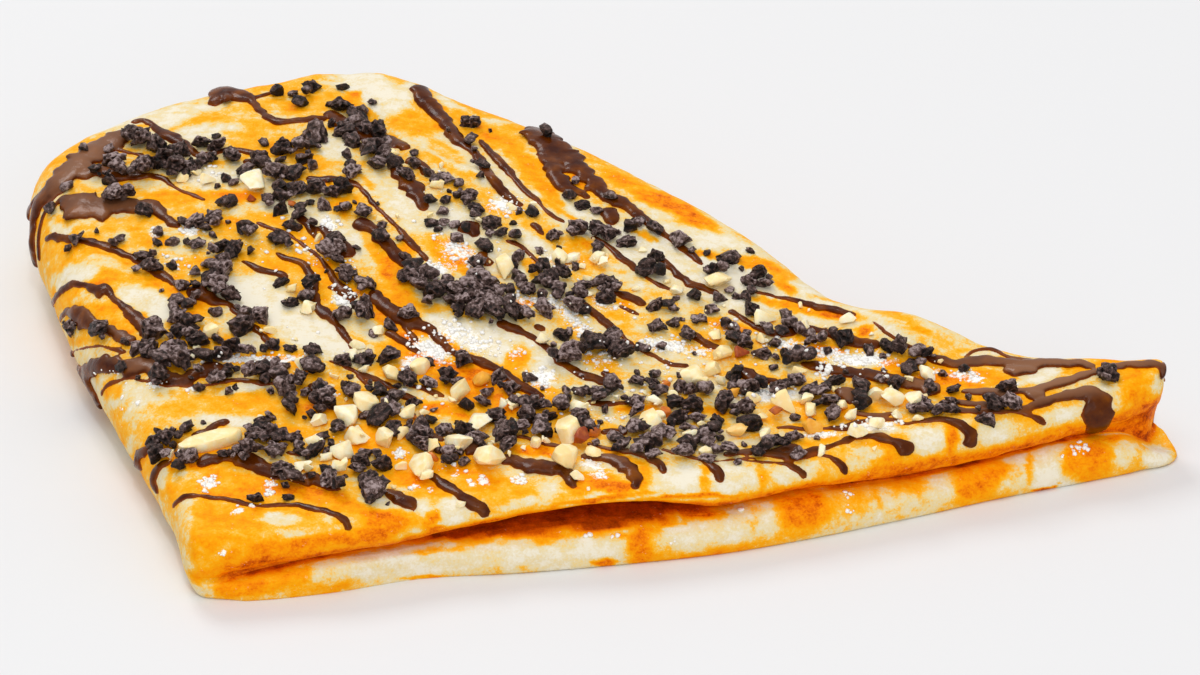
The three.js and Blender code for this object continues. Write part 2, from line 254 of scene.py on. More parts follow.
# Stations anticlockwise round the edge from the front corner of the tip: x and y of the upper fold's edge,
# how far its bend reaches in, the crease's height, depth and gap, the lower lip's reach, and 1 where two
# lips show or 0 where the edge is one closed fold.
crepeForm = {
    "stations": [
        (88.6, -18.4, 3.0, 4.6, 2.4, 2.6, 2.8, 1.0),
        (92.8, -14.6, 2.0, 1.7, 1.6, 6.0, 3.6, 1.0),
        (93.5, -11.2, 1.0, 2.8, 1.4, 4.4, 1.0, 1.0),
        (86.0, -10.2, 1.3, 6.0, 2.0, 0.6, 1.0, 1.0),
        (73.0, -6.8, 3.0, 6.0, 3.0, 0.6, 1.0, 1.0),
        (56.0, 0.4, 5.0, 6.5, 4.0, 0.8, 2.0, 1.0),
        (41.5, 6.8, 6.0, 6.5, 4.0, 0.8, 2.0, 1.0),
        (31.0, 18.8, 6.5, 7.0, 4.0, 0.8, 2.0, 1.0),
        (14.0, 34.8, 7.0, 7.5, 4.0, 0.8, 2.0, 1.0),
        (-18.0, 57.4, 8.0, 8.0, 4.0, 0.8, 2.0, 1.0),
        (-48.0, 68.6, 8.0, 9.0, 2.0, 0.3, 1.0, 0.6),
        (-64.0, 65.2, 8.5, 9.0, 0.0, 0.0, 0.0, 0.1),
        (-79.0, 58.2, 9.0, 9.0, 0.0, 0.0, 0.0, 0.0),
        (-96.0, 38.2, 9.0, 9.0, 0.0, 0.0, 0.0, 0.0),
        (-87.8, 6.2, 9.0, 9.0, 0.0, 0.0, 0.0, 0.0),
        (-73.4, -25.2, 8.0, 7.0, 0.0, 0.0, 0.0, 0.0),
        (-58.5, -54.2, 4.8, 5.0, 0.0, 0.0, 0.0, 0.0),
        (-52.2, -67.4, 2.2, 2.0, 0.6, 0.1, 0.3, 0.4),
        (-46.0, -66.4, 4.0, 3.2, 2.0, 0.2, 0.8, 1.0),
        (-33.6, -63.4, 5.5, 4.5, 3.0, 0.3, 0.8, 1.0),
        (-20.7, -59.0, 5.8, 4.6, 4.0, 0.5, 0.4, 1.0),
        (-6.0, -54.2, 6.0, 5.6, 6.0, 1.5, 3.0, 1.0),
        (10.0, -50.6, 6.0, 5.6, 9.0, 3.6, 3.0, 1.0),
        (25.6, -47.0, 5.6, 5.4, 6.0, 0.9, 2.2, 1.0),
        (36.3, -42.4, 5.5, 5.8, 4.0, 0.5, 2.7, 1.0),
        (52.4, -35.4, 5.0, 4.9, 3.0, 0.3, 2.4, 1.0),
        (68.2, -27.8, 4.5, 4.8, 3.0, 0.3, 2.4, 1.0),
        (80.5, -22.2, 3.8, 5.7, 2.8, 0.5, 2.8, 1.0),
    ],
    "middle": (-12.0, -27.0),
    "frontHeight": 15.5,
    "riseAlong": -0.01,
    "riseAcross": 0.085,
    # x, y, wide, deep, rise of each swell of the upper side
    "swells": [
        (-40, 19, 45, 40, 4.6),
        (-38, 60, 14, 10, 2.0),
        (92, -12, 14, 10, 1.5),
        (68, -9, 12, 8, -1.0),
        (55, -2, 9, 7, 2.2),
    ],
    "lipBend": 0.75,  # 1 makes an open lip's bend round, less makes its face steeper
    # degrees round the edge, from 90 at the top, at which an open lip, a closed fold and the skin end
    "foldEnds": (-78.0, -10.0, -90.0),
    "cornerShare": 0.85,  # of a corner's radius, the most that the fold turns in there
    "slopeStep": 1e-3,  # stations to each side from which the edge's direction is taken
    "cornerStep": 0.1,  # and its turning
    # the crease and the lower lip from the crease's roof to the foot: shares of depth (under 0) or reach
    # (over 0), shares of the crease's height, and mm added to the height
    "lowerLip": [
        (-1.0, 1.0, 0.5), (-1.0, 1.0, 0.0), (-0.3, 1.0, 0.0), (0.25, 1.0, -0.6), (0.7, 0.74, 0.0),
        (0.95, 0.46, 0.0), (1.0, 0.22, 0.0), (0.93, 0.07, 0.0), (0.8, 0.0, 0.0),
    ],
    # the mesh: steps round the edge, and rows over the top, the upper fold, the lower lip and the underside
    "edgeSteps": 690,
    "topRows": 70,
    "foldRows": 28,
    "lipRows": 18,
    "underRows": 16,
}
stationTable = np.array(crepeForm["stations"])
stationCount = len(stationTable)
chords = np.hypot(*(np.roll(stationTable, -1, axis=0) - stationTable)[:, :2].T)
onwards = (np.roll(stationTable, -1, axis=0) - stationTable) / chords[:, None]
chordsBefore = np.roll(chords, 1)
stationSlopes = ((np.roll(onwards, 1, axis=0) * chords[:, None] + onwards * chordsBefore[:, None])
                 / (chords + chordsBefore)[:, None])


def stationAt(s):
    # the station values at s, which counts stations, on a smooth closed curve through them
    first = math.floor(s)
    t = s - first
    i, j = first % stationCount, (first + 1) % stationCount
    a, b = stationTable[i], stationTable[j]
    slopeOut, slopeIn = stationSlopes[i] * chords[i], stationSlopes[j] * chords[i]
    cubic = 2 * a - 2 * b + slopeOut + slopeIn
    square = -3 * a + 3 * b - 2 * slopeOut - slopeIn
    return ((cubic * t + square) * t + slopeOut) * t + a


def topHeight(x, y):
    height = crepeForm["frontHeight"] + crepeForm["riseAlong"] * x + crepeForm["riseAcross"] * y
    for swellX, swellY, wide, deep, rise in crepeForm["swells"]:
        height += rise * math.exp(-((x - swellX) / wide) ** 2 - ((y - swellY) / deep) ** 2)
    return height


def blend(a, b, t):
    return a + (b - a) * t


def edgeAlong(s):
    # the edge's direction in plan
    step = crepeForm["slopeStep"]
    return stationAt(s + step)[:2] - stationAt(s - step)[:2]


class EdgePlace:
    # one place on the edge: its station values, its outward direction in plan and its height
    def __init__(self, s):
        self.x, self.y, self.round, self.groove, self.depth, self.gap, self.reach, lips = stationAt(s)
        self.lips = min(max(lips, 0.0), 1.0)
        along = edgeAlong(s)
        along /= np.hypot(*along)
        self.outward = Vector((along[1], -along[0], 0))
        # at a tight corner the fold turns in less, so that it doesn't cross itself
        before, after = s - crepeForm["cornerStep"], s + crepeForm["cornerStep"]
        turnBefore, turnAfter = (math.atan2(*edgeAlong(place)[::-1]) for place in (before, after))
        turned = math.remainder(turnAfter - turnBefore, 2 * math.pi)
        corner = np.hypot(*(stationAt(after)[:2] - stationAt(before)[:2])) / max(turned, 1e-3)
        self.round = min(self.round, crepeForm["cornerShare"] * corner)
        self.bend = Vector((self.x, self.y, 0)) - self.outward * self.round
        self.height = topHeight(self.bend.x, self.bend.y)
        self.power = blend(1, crepeForm["lipBend"], self.lips)

    def swing(self, angle):
        return max(0.0, math.cos(angle)) ** self.power

    def fold(self, lip, closed):
        # a point round the upper fold: 90 degrees is its top, 0 its outermost line
        lipRadius = (self.height - self.groove - self.gap) / 2
        out = self.round * (blend(self.swing(closed), self.swing(lip), self.lips) - 1)
        up = blend(self.height / 2 * (1 + math.sin(closed)), self.height - lipRadius * (1 - math.sin(lip)),
                   self.lips)
        return Vector((self.x, self.y, up)) + self.outward * out

    def lower(self, share, closed):
        # the crease and the lower lip from 0 at the crease's roof to 1 at the foot
        profile = crepeForm["lowerLip"]
        place = share * (len(profile) - 1)
        first = min(int(place), len(profile) - 2)
        out, up, more = (blend(a, b, place - first) for a, b in zip(profile[first], profile[first + 1]))
        lipOut = out * (self.depth if out < 0 else self.reach)
        lipUp = up * self.groove + (more * self.gap if more > 0 else more)
        closedUp = self.height / 2 * (1 + math.sin(closed))
        return (Vector((self.x, self.y, blend(closedUp, lipUp, self.lips)))
                + self.outward * blend(self.round * (self.swing(closed) - 1), lipOut, self.lips))


# the mm run along the edge at each of many stations
edgeSteps = np.arange(0, stationCount, 0.02)
edgePlan = np.array([stationAt(s)[:2] for s in edgeSteps])
edgeLengths = np.hypot(*(np.roll(edgePlan, -1, axis=0) - edgePlan).T)
edgeMarks = np.concatenate([[0], np.cumsum(edgeLengths)])
meshRows = sum(crepeForm[part] for part in ("topRows", "foldRows", "lipRows", "underRows"))


def stationOf(turn):
    # the station at a share of the way round the edge
    return np.interp(turn * edgeMarks[-1], edgeMarks, np.append(edgeSteps, stationCount))


def makeCrepeBody(values):
    # row by row from the middle of the top, over the fold, into the crease, round the lower lip and under it
    topRows, foldRows, lipRows = values["topRows"], values["foldRows"], values["lipRows"]
    lipEnd, closedEnd, footEnd = values["foldEnds"]
    middle = Vector((*values["middle"], 0))
    places = {}

    def place(turn, fall):
        row = round(fall * meshRows)
        key = round(turn * values["edgeSteps"])
        if key not in places:
            places[key] = EdgePlace(stationOf(turn))
        edge = places[key]
        if row < topRows:
            plan = middle.lerp(edge.bend, row / topRows)
            point = Vector((plan.x, plan.y, topHeight(plan.x, plan.y)))
        elif row <= topRows + foldRows:
            share = (row - topRows) / foldRows
            point = edge.fold(*(math.radians(blend(90, end, share)) for end in (lipEnd, closedEnd)))
        elif row <= topRows + foldRows + lipRows:
            share = (row - topRows - foldRows) / lipRows
            point = edge.lower(share, math.radians(blend(closedEnd, footEnd, share)))
            if row == topRows + foldRows + lipRows:
                point.z = 0
        else:
            share = (row - topRows - foldRows - lipRows) / values["underRows"]
            foot = edge.lower(1, math.radians(footEnd))
            point = Vector((foot.x, foot.y, 0)).lerp(middle, share)
        return point * mm

    return wrapGrid("foldedCrepe", values["edgeSteps"], meshRows, place, marked=True)


body = makeCrepeBody(crepeForm)
print("crepe wrapped:", len(body.data.polygons), "faces")


# Pleats and steps of the sheet: from, to, half width and rise.
reliefValues = {
    "pleats": [
        ((-46, 61), (-40, 47), 3.0, -1.0),
        ((-40, 47), (-34, 36), 2.6, -0.8),
        ((-35, 38), (-17, 29), 1.6, 0.7),
        ((-17, 29), (5, 9), 1.6, 0.6),
        ((-72, 47), (-50, 44), 2.2, 0.5),
        ((25, 12), (50, -4), 1.8, 0.5),
        ((-80, 4), (-52, -20), 2.2, 0.4),
    ],
    # size of the pattern and height, in mm
    "swell": (16.0, 0.45),
    "blister": (5.0, 0.22),
    "grain": (1.7, 0.07),
    "streak": (2.6, 0.16),
    "streakTurn": -36.0,
    "streakStretch": 5.0,
    "flatUnder": 0.2,  # mm above the floor at which the relief begins
    "fullOver": 1.2,  # mm over which it grows to its full height
}


def segmentDistance(points, start, end):
    a, b = np.array(start, float), np.array(end, float)
    along = b - a
    t = np.clip(((points[:, :2] - a) @ along) / (along @ along), 0, 1)
    return np.hypot(*(points[:, :2] - a - t[:, None] * along).T)


def noiseField(points, size, seed, stretch=1.0, turn=0.0):
    # smooth noise from -1 to 1 at the points, its pattern size in mm, stretched along the turned direction
    c, s = math.cos(math.radians(turn)), math.sin(math.radians(turn))
    along = (points[:, 0] * c + points[:, 1] * s) / (size * stretch)
    across = (points[:, 1] * c - points[:, 0] * s) / size
    up = points[:, 2] / size
    return np.array([noise.noise((a + seed, b - seed, u)) for a, b, u in zip(along, across, up)])


def raiseRelief(piece, values):
    points, normals = vertexArray(piece), normalArray(piece)
    upper = np.clip(normals[:, 2], 0, 1)
    lift = np.zeros(len(points))
    for start, end, wide, rise in values["pleats"]:
        lift += rise * np.exp(-(segmentDistance(points, start, end) / wide) ** 2) * upper
    for seed, key in enumerate(("swell", "blister", "grain")):
        size, height = values[key]
        lift += height * noiseField(points, size, 7.3 * seed)
    size, height = values["streak"]
    lift += height * noiseField(points, size, 31.7, values["streakStretch"], values["streakTurn"])
    lift *= np.clip((points[:, 2] - values["flatUnder"]) / values["fullOver"], 0, 1)
    points += normals * lift[:, None]
    points[:, 2] = np.maximum(points[:, 2], 0)
    piece.data.vertices.foreach_set("co", (points * mm).ravel())
    piece.data.update()


raiseRelief(body, reliefValues)
print("crepe relief raised")


# Toppings and colours are placed by the pixel of the view at which they show, and then lie on the crepe
# where the camera's ray through that pixel meets it.
castValues = {
    "search": range(-120, 130, 4),  # mm past the view's target that are searched where a ray meets nothing
    "smooth": 1.4,  # mm round the place over which the skin's direction is averaged
    "facing": 0.3,  # least agreement of a face that counts
}
viewBack = directionOf(viewValues["turn"], viewValues["tilt"])
viewEye = Vector(viewValues["target"]) + viewBack * viewValues["away"]
viewRight = Vector((0, 0, 1)).cross(viewBack).normalized()
viewUp = viewBack.cross(viewRight)
middleU, middleV = (side / 2 for side in viewValues["frame"])
focalPixels = viewValues["lens"] / viewValues["sensor"] * viewValues["frame"][0]


def pixelOf(point):
    reach = point - viewEye
    scale = focalPixels / -reach.dot(viewBack)
    return middleU + scale * reach.dot(viewRight), middleV - scale * reach.dot(viewUp)


def pixelArray(points):
    # the same for an array of points
    reach = points - np.array(viewEye)
    scale = focalPixels / -(reach @ np.array(viewBack))
    return middleU + scale * (reach @ np.array(viewRight)), middleV - scale * (reach @ np.array(viewUp))


def pixelScale(place):
    # pixels that a mm shows at a place
    return focalPixels / (viewEye - place).dot(viewBack)


def rayThrough(u, v):
    return (viewRight * (u - middleU) + viewUp * (middleV - v) - viewBack * focalPixels).normalized()


def treeOf(pieces):
    points, faces = [], []
    for piece in pieces:
        first = len(points)
        points += [v.co.copy() for v in piece.data.vertices]
        faces += [tuple(first + i for i in p.vertices) for p in piece.data.polygons]
    return BVHTree.FromPolygons(points, faces)


def castPixel(tree, u, v):
    # the point that shows at a pixel, or off the outline the nearest one, and the direction out of the skin
    ray = rayThrough(u, v)
    place, normal = tree.ray_cast(viewEye * mm, ray)[:2]
    if place is None:
        steps = [viewEye + ray * (viewValues["away"] + past) for past in castValues["search"]]
        near = [tree.find_nearest(step * mm) for step in steps]
        place, normal = min(near, key=lambda found: found[3])[:2]
    around = tree.find_nearest_range(place, castValues["smooth"] * mm)
    total = sum((found[1] for found in around if found[1].dot(normal) > castValues["facing"]), normal.copy())
    return place / mm, total.normalized()


# How brown the batter is, with the painted shade of the crease and of the lip over it in the same scale: 0
# cream, 0.45 gold, 0.75 orange, 1.2 dark brown.
# Patches by pixel: u, v, half length, half width, turn, tone.
browningAndShadeValues = {
    "base": 0.36,
    "patches": [
        # left end and rim
        (60, 165, 34, 8, 40, 0.45), (34, 225, 7, 30, 0, 0.42), (60, 230, 14, 8, -10, 0.08),
        (120, 225, 38, 9, 5, 0.46), (150, 240, 22, 8, -5, 0.52), (54, 255, 14, 13, 0, 0.42),
        (75, 275, 26, 12, 20, 0.05), (105, 262, 35, 7, -15, 0.28), (128, 283, 24, 6, -20, 0.56),
        (146, 300, 32, 14, -15, 0.02), (160, 312, 14, 16, 0, 0.02), (92, 298, 22, 8, 0, 0.32),
        (115, 318, 17, 9, -30, 0.52), (129, 334, 12, 5, -35, 0.75), (85, 340, 24, 6, 5, 0.52),
        (88, 353, 14, 5, 0, 0.25), (66, 318, 5, 9, 0, 0.5), (95, 181, 15, 6, 0, 0.2),
        (150, 186, 26, 6, -5, 0.32), (178, 198, 34, 6, 0, 0.62), (205, 178, 20, 10, 0, 0.0),
        (215, 164, 10, 5, 0, 0.62), (225, 222, 18, 6, 0, 0.62), (170, 262, 20, 12, 0, 0.34),
        (200, 262, 14, 8, 0, 0.45), (235, 275, 36, 7, -10, 0.38), (220, 322, 18, 14, 0, 0.25),
        (176, 332, 12, 8, 0, 0.5), (197, 300, 10, 8, 0, 0.6),
        # the far left of the top and its rim
        (175, 112, 40, 10, 15, 0.12), (140, 130, 16, 6, 15, 0.4), (195, 122, 40, 3, 16, 0.5),
        (205, 131, 34, 6, 10, 0.12), (250, 131, 26, 6, 5, 0.5), (232, 128, 14, 5, 0, 0.2),
        (262, 105, 18, 6, 0, 0.5), (292, 108, 14, 5, 0, 0.62), (285, 80, 45, 5, 5, 0.38),
        (310, 76, 18, 4, 5, 0.55), (255, 143, 26, 5, 0, 0.5), (330, 172, 24, 6, -10, 0.42),
        (372, 93, 32, 20, -20, 0.02), (352, 100, 10, 9, -40, 0.78), (366, 112, 14, 7, -45, 0.6),
        (392, 76, 18, 3, -18, 0.45), (336, 148, 20, 12, -20, 0.04), (372, 188, 24, 9, -50, 0.22),
        (366, 182, 10, 4, -50, 0.5), (396, 212, 22, 10, -50, 0.16), (415, 124, 30, 13, -8, 0.6),
        (390, 140, 14, 6, -35, 0.5), (232, 196, 36, 6, 0, 0.7), (262, 218, 18, 6, -20, 0.55),
        (300, 232, 34, 9, -30, 0.58), (348, 238, 22, 11, -50, 0.12), (376, 250, 26, 8, -50, 0.56),
        (396, 275, 26, 11, -55, 0.72), (300, 262, 26, 7, -30, 0.5), (330, 270, 14, 6, -40, 0.6),
        (290, 212, 14, 6, -20, 0.2), (340, 205, 14, 8, -30, 0.6),
        # the long cream field and the gold band below it
        (245, 287, 42, 13, 0, 0.0), (262, 305, 50, 16, -20, 0.0), (295, 322, 60, 20, -30, 0.0),
        (335, 347, 32, 12, -20, 0.02), (346, 300, 16, 10, -30, 0.0), (362, 328, 30, 12, -20, 0.18),
        (250, 342, 16, 10, 0, 0.1), (400, 300, 20, 14, -50, 0.6), (205, 265, 30, 6, 10, 0.48),
        (232, 399, 64, 11, 8, 0.5), (262, 411, 42, 8, 0, 0.56), (310, 410, 26, 11, 0, 0.7),
        (245, 389, 24, 5, 10, 0.06), (225, 420, 34, 6, 0, 0.06), (132, 400, 26, 10, 25, 0.2),
        (118, 410, 20, 6, 35, 0.45), (178, 410, 24, 7, 0, 0.5), (148, 393, 20, 5, 15, 0.12),
        (137, 430, 14, 10, 40, 0.38), (160, 440, 16, 8, 20, 0.46), (110, 388, 10, 12, 60, 0.5),
        # left part of the front
        (132, 445, 12, 9, 50, 0.3), (163, 478, 7, 18, 0, 0.2), (186, 476, 20, 8, 10, 0.36),
        (215, 486, 18, 7, 0, 0.48), (262, 482, 30, 7, -8, 0.66), (302, 490, 42, 8, -5, 0.8),
        (336, 502, 26, 12, -10, 0.66), (186, 515, 10, 20, 0, 0.25), (212, 530, 20, 24, 0, 0.64),
        (242, 520, 22, 12, 0, 0.58), (278, 518, 22, 7, 6, 0.1), (300, 531, 24, 7, 0, 0.32),
        (322, 522, 16, 7, 0, 0.36), (200, 565, 8, 22, 10, 0.5), (250, 558, 44, 12, 18, 0.68),
        (300, 546, 34, 9, 12, 0.74), (228, 578, 16, 8, 35, 0.78), (360, 512, 24, 10, -10, 0.66),
        (392, 520, 26, 12, 0, 0.72), (366, 536, 42, 9, 5, 0.82), (410, 480, 34, 9, -15, 0.68),
        (432, 500, 20, 8, -20, 0.5), (425, 510, 7, 14, 0, 0.1), (454, 510, 20, 15, 10, 0.06),
        (430, 520, 14, 8, 40, 0.74), (436, 531, 16, 5, 8, 0.82), (500, 490, 42, 13, -8, 0.5),
        (492, 520, 20, 6, 12, 0.12), (520, 503, 20, 6, 12, 0.18), (470, 474, 30, 6, -15, 0.66),
        (400, 456, 14, 7, 0, 0.6), (548, 490, 12, 7, 0, 0.2), (570, 496, 16, 6, 10, 0.55),
        # the thin dark band at 600, 499 is painted shade where the upper fold turns into the crease
        (590, 481, 30, 11, 5, 0.74), (618, 487, 20, 7, 0, 0.86), (600, 499, 60, 3, 8, 0.8),
        # middle of the front: two pale pillows and what is between them
        (645, 478, 7, 18, 0, 0.6), (679, 478, 19, 14, 5, 0.08), (705, 480, 6, 17, 0, 0.62),
        # the thin dark band at 690, 497 is painted shade where the upper fold turns into the crease
        (735, 477, 21, 14, 3, 0.1), (762, 479, 6, 16, 0, 0.58), (690, 497, 50, 3, 2, 0.82),
        (788, 474, 14, 11, 5, 0.12), (812, 470, 9, 12, 0, 0.2), (833, 471, 7, 13, 0, 0.52),
        (857, 463, 13, 13, 0, 0.12), (883, 460, 10, 15, 0, 0.68), (925, 442, 20, 15, 5, 0.1),
        (950, 441, 7, 17, 0, 0.86), (920, 463, 36, 4, 10, 0.66), (996, 431, 19, 14, 15, 0.14),
        (968, 455, 16, 5, 8, 0.6), (1036, 436, 20, 5, 15, 0.52), (1060, 415, 22, 7, 10, 0.14),
        (1012, 447, 22, 5, 10, 0.34), (1050, 431, 34, 3, 15, 0.68), (850, 442, 30, 7, 12, 0.46),
        (865, 454, 16, 8, 10, 0.3), (810, 442, 16, 5, 10, 0.52),
        # the tip
        (1040, 376, 20, 7, 12, 0.04), (1077, 370, 14, 5, 5, 0.6), (1008, 386, 22, 4, 5, 0.26),
        (978, 375, 16, 5, 0, 0.6), (957, 381, 8, 6, 0, 0.78), (1118, 400, 5, 24, 0, 0.34),
        (1136, 392, 13, 28, 0, 0.68), (1128, 382, 6, 14, 0, 0.56), (1159, 388, 8, 22, 0, 0.26),
        # the tab under the upper fold's end, at 1142, 412 and 1145, 428, is painted a deeper orange: partly
        # its own browning, partly painted shade under the fold
        (1142, 412, 16, 4, 20, 0.84), (1145, 428, 16, 14, 0, 0.86),
        # the far edge from the corner to the tip
        (405, 95, 12, 14, -20, 0.05), (455, 106, 26, 4, -30, 0.14), (445, 150, 22, 7, -30, 0.46),
        (468, 172, 34, 4, -24, 0.14), (450, 166, 40, 3, -22, 0.5), (497, 125, 22, 5, -20, 0.22),
        (492, 134, 14, 5, -25, 0.66), (520, 142, 22, 9, -40, 0.54), (532, 150, 14, 5, -40, 0.26),
        (500, 156, 10, 5, -40, 0.2), (534, 176, 18, 11, -40, 0.62), (548, 192, 20, 7, -40, 0.64),
        (577, 176, 12, 3, -50, 0.72), (606, 163, 36, 6, -34, 0.48), (622, 182, 28, 7, -36, 0.66),
        (655, 198, 32, 9, -34, 0.72), (688, 214, 34, 10, -30, 0.8), (664, 221, 34, 5, -33, 0.14),
        (727, 243, 42, 6, -18, 0.1), (712, 255, 22, 4, -10, 0.76), (752, 262, 32, 5, -20, 0.7),
        (785, 281, 22, 9, -40, 0.74), (645, 235, 16, 4, -22, 0.72), (628, 256, 22, 7, -40, 0.1),
        (690, 266, 28, 7, -38, 0.18), (580, 244, 15, 5, 0, 0.72), (532, 241, 28, 8, -38, 0.1),
        (560, 212, 26, 4, -32, 0.6), (505, 202, 16, 7, -30, 0.16), (455, 256, 32, 14, -35, 0.64),
        (413, 215, 20, 13, -50, 0.12), (408, 250, 12, 12, -50, 0.62), (400, 290, 8, 14, 0, 0.7),
        (804, 288, 14, 6, -30, 0.14), (832, 300, 28, 3, -12, 0.45), (775, 304, 26, 5, -8, 0.68),
        (828, 313, 34, 6, -5, 0.8), (840, 326, 24, 7, -10, 0.28), (865, 330, 8, 7, 0, 0.86),
        (893, 330, 24, 6, -32, 0.12), (905, 318, 40, 3, -14, 0.48), (918, 327, 34, 3, -28, 0.58),
        (930, 325, 18, 4, -30, 0.22), (943, 341, 14, 5, -40, 0.42), (982, 355, 18, 4, 0, 0.1),
        # the middle of the top
        (455, 311, 44, 3, -10, 0.52), (452, 328, 34, 10, -22, 0.04), (480, 342, 44, 13, -24, 0.04),
        (516, 357, 12, 13, -40, 0.6), (545, 376, 16, 9, -30, 0.1), (533, 387, 16, 7, -30, 0.55),
        (562, 380, 18, 8, -25, 0.2), (552, 393, 9, 6, 0, 0.5), (545, 309, 30, 6, -18, 0.36),
        (522, 302, 24, 4, -8, 0.74), (533, 268, 13, 9, -40, 0.62), (612, 311, 24, 7, -30, 0.46),
        (625, 330, 24, 7, -20, 0.36), (668, 345, 24, 6, -15, 0.14), (640, 286, 20, 7, -20, 0.24),
        (686, 305, 14, 8, -20, 0.16), (625, 305, 14, 3, -30, 0.78), (724, 325, 28, 7, -10, 0.74),
        (780, 305, 32, 5, -10, 0.66), (605, 366, 26, 7, -25, 0.56), (612, 418, 26, 6, -5, 0.3),
        (445, 410, 24, 7, -12, 0.74), (424, 393, 44, 4, -10, 0.28), (408, 336, 8, 11, 30, 0.78),
        (438, 348, 20, 8, -30, 0.04), (530, 449, 34, 5, -8, 0.76), (620, 456, 26, 3, -16, 0.72),
        (748, 442, 22, 4, 4, 0.1), (765, 350, 20, 6, 0, 0.3), (800, 350, 22, 5, 8, 0.6),
        (775, 370, 16, 7, 0, 0.36), (828, 350, 26, 4, -5, 0.76), (858, 360, 32, 8, -4, 0.1),
        (893, 362, 18, 5, -5, 0.72), (900, 373, 22, 4, -20, 0.6), (945, 379, 14, 6, 0, 0.76),
        (780, 395, 32, 7, 0, 0.08), (640, 410, 24, 4, -5, 0.7), (735, 392, 16, 5, 0, 0.62),
        (700, 412, 30, 4, 0, 0.7), (880, 428, 22, 5, 5, 0.14), (830, 430, 22, 6, 0, 0.32),
        (600, 425, 24, 4, 0, 0.5), (815, 427, 20, 5, 0, 0.6),
    ],
    # the lower lip has its own patches
    "lowerPatches": [
        (235, 591, 44, 9, 8, 0.74), (290, 580, 36, 9, 12, 0.66), (213, 598, 10, 5, 0, 0.5),
        # the thin dark bands at 455, 548 and 590, 537 and 690, 520 are painted shade on the lower lip's top
        # under the upper fold
        (328, 573, 18, 14, 12, 0.2), (390, 562, 60, 16, 6, 0.12), (455, 548, 52, 3, 6, 0.62),
        (480, 558, 70, 12, 5, 0.13), (546, 538, 16, 6, 5, 0.7), (580, 556, 60, 14, 6, 0.12),
        (590, 537, 50, 2, 2, 0.66), (642, 545, 14, 24, 0, 0.82), (700, 536, 44, 16, 8, 0.12),
        (690, 520, 46, 4, 12, 0.84), (740, 525, 26, 16, 8, 0.14), (752, 524, 3, 16, 0, 0.42),
        (770, 518, 12, 18, 0, 0.14), (800, 510, 27, 22, 8, 0.8), (836, 510, 6, 16, 0, 0.42),
        (855, 500, 15, 14, 0, 0.5), (893, 507, 26, 14, 5, 0.26), (878, 500, 3, 14, 25, 0.62),
        (895, 484, 34, 4, 8, 0.58), (940, 488, 17, 18, 25, 0.14), (985, 474, 28, 16, 12, 0.76),
        (966, 490, 8, 8, 0, 0.86), (1029, 468, 4, 18, 0, 0.6), (1014, 480, 11, 8, 10, 0.24),
        (1047, 467, 10, 18, 0, 0.1), (1088, 460, 28, 24, 8, 0.74), (1125, 452, 10, 16, 0, 0.2),
        (1141, 450, 3, 16, 15, 0.46), (1158, 457, 14, 12, 0, 0.05), (1115, 437, 16, 5, 5, 0.62),
        # the tab at 1142, 427 is painted a deeper orange: partly its own browning, partly painted shade under
        # the upper fold's end
        (1142, 427, 18, 15, 0, 0.76), (605, 562, 16, 4, 4, 0.84), (1045, 487, 18, 2, 16, 1.0),
        (425, 577, 24, 2, 3, 0.66),
    ],
    "patchPull": 0.94,
    "patchBorders": (3.2, 3.4),  # how sharply the patches of the upper fold and of the lower lip end
    "warp": (4.5, 5.0),  # size in mm and reach in pixels of the wobble in every border
    "fray": (1.3, 2.4),  # the same for the fine raggedness
    "loose": (12.0, 4.0, 0.48),  # size, stretch and strength of the browning that nothing places
    # in mesh rows past the fold: the crease begins at 1, and the lower lip's patches at 4
    "creaseRow": 1,
    "lowerRow": 4,
    "creaseBand": (2.0, 2.4),  # the middle and the half width of the crease's painted shade off the front
    "lipBand": (-9.0, 3.2, 0.9),  # where the painted shade on the lip over the crease is darkest, how softly that starts, how much
    "frontStations": (17.0, 2.0),  # the front runs from the first to the second
    # the border by pixel between the painted shade inside the front crease and the lower lip, and its
    # softness
    "lipEdgeSoft": 5,
    "lipEdge": [
        (180, 583), (265, 572), (342, 555), (400, 544), (440, 541), (480, 540), (520, 536), (560, 532),
        (600, 534), (620, 530), (640, 522), (660, 520), (680, 515), (720, 507), (760, 496), (800, 490),
        (860, 484), (895, 480), (940, 472), (990, 460), (1050, 445), (1090, 435), (1120, 428), (1126, 380),
    ],
    # the tone of the painted shade inside the crease, and that of the painted shade on the lip over it
    "creaseShadeTone": 0.98,
    "lipShadeTone": 0.86,
}

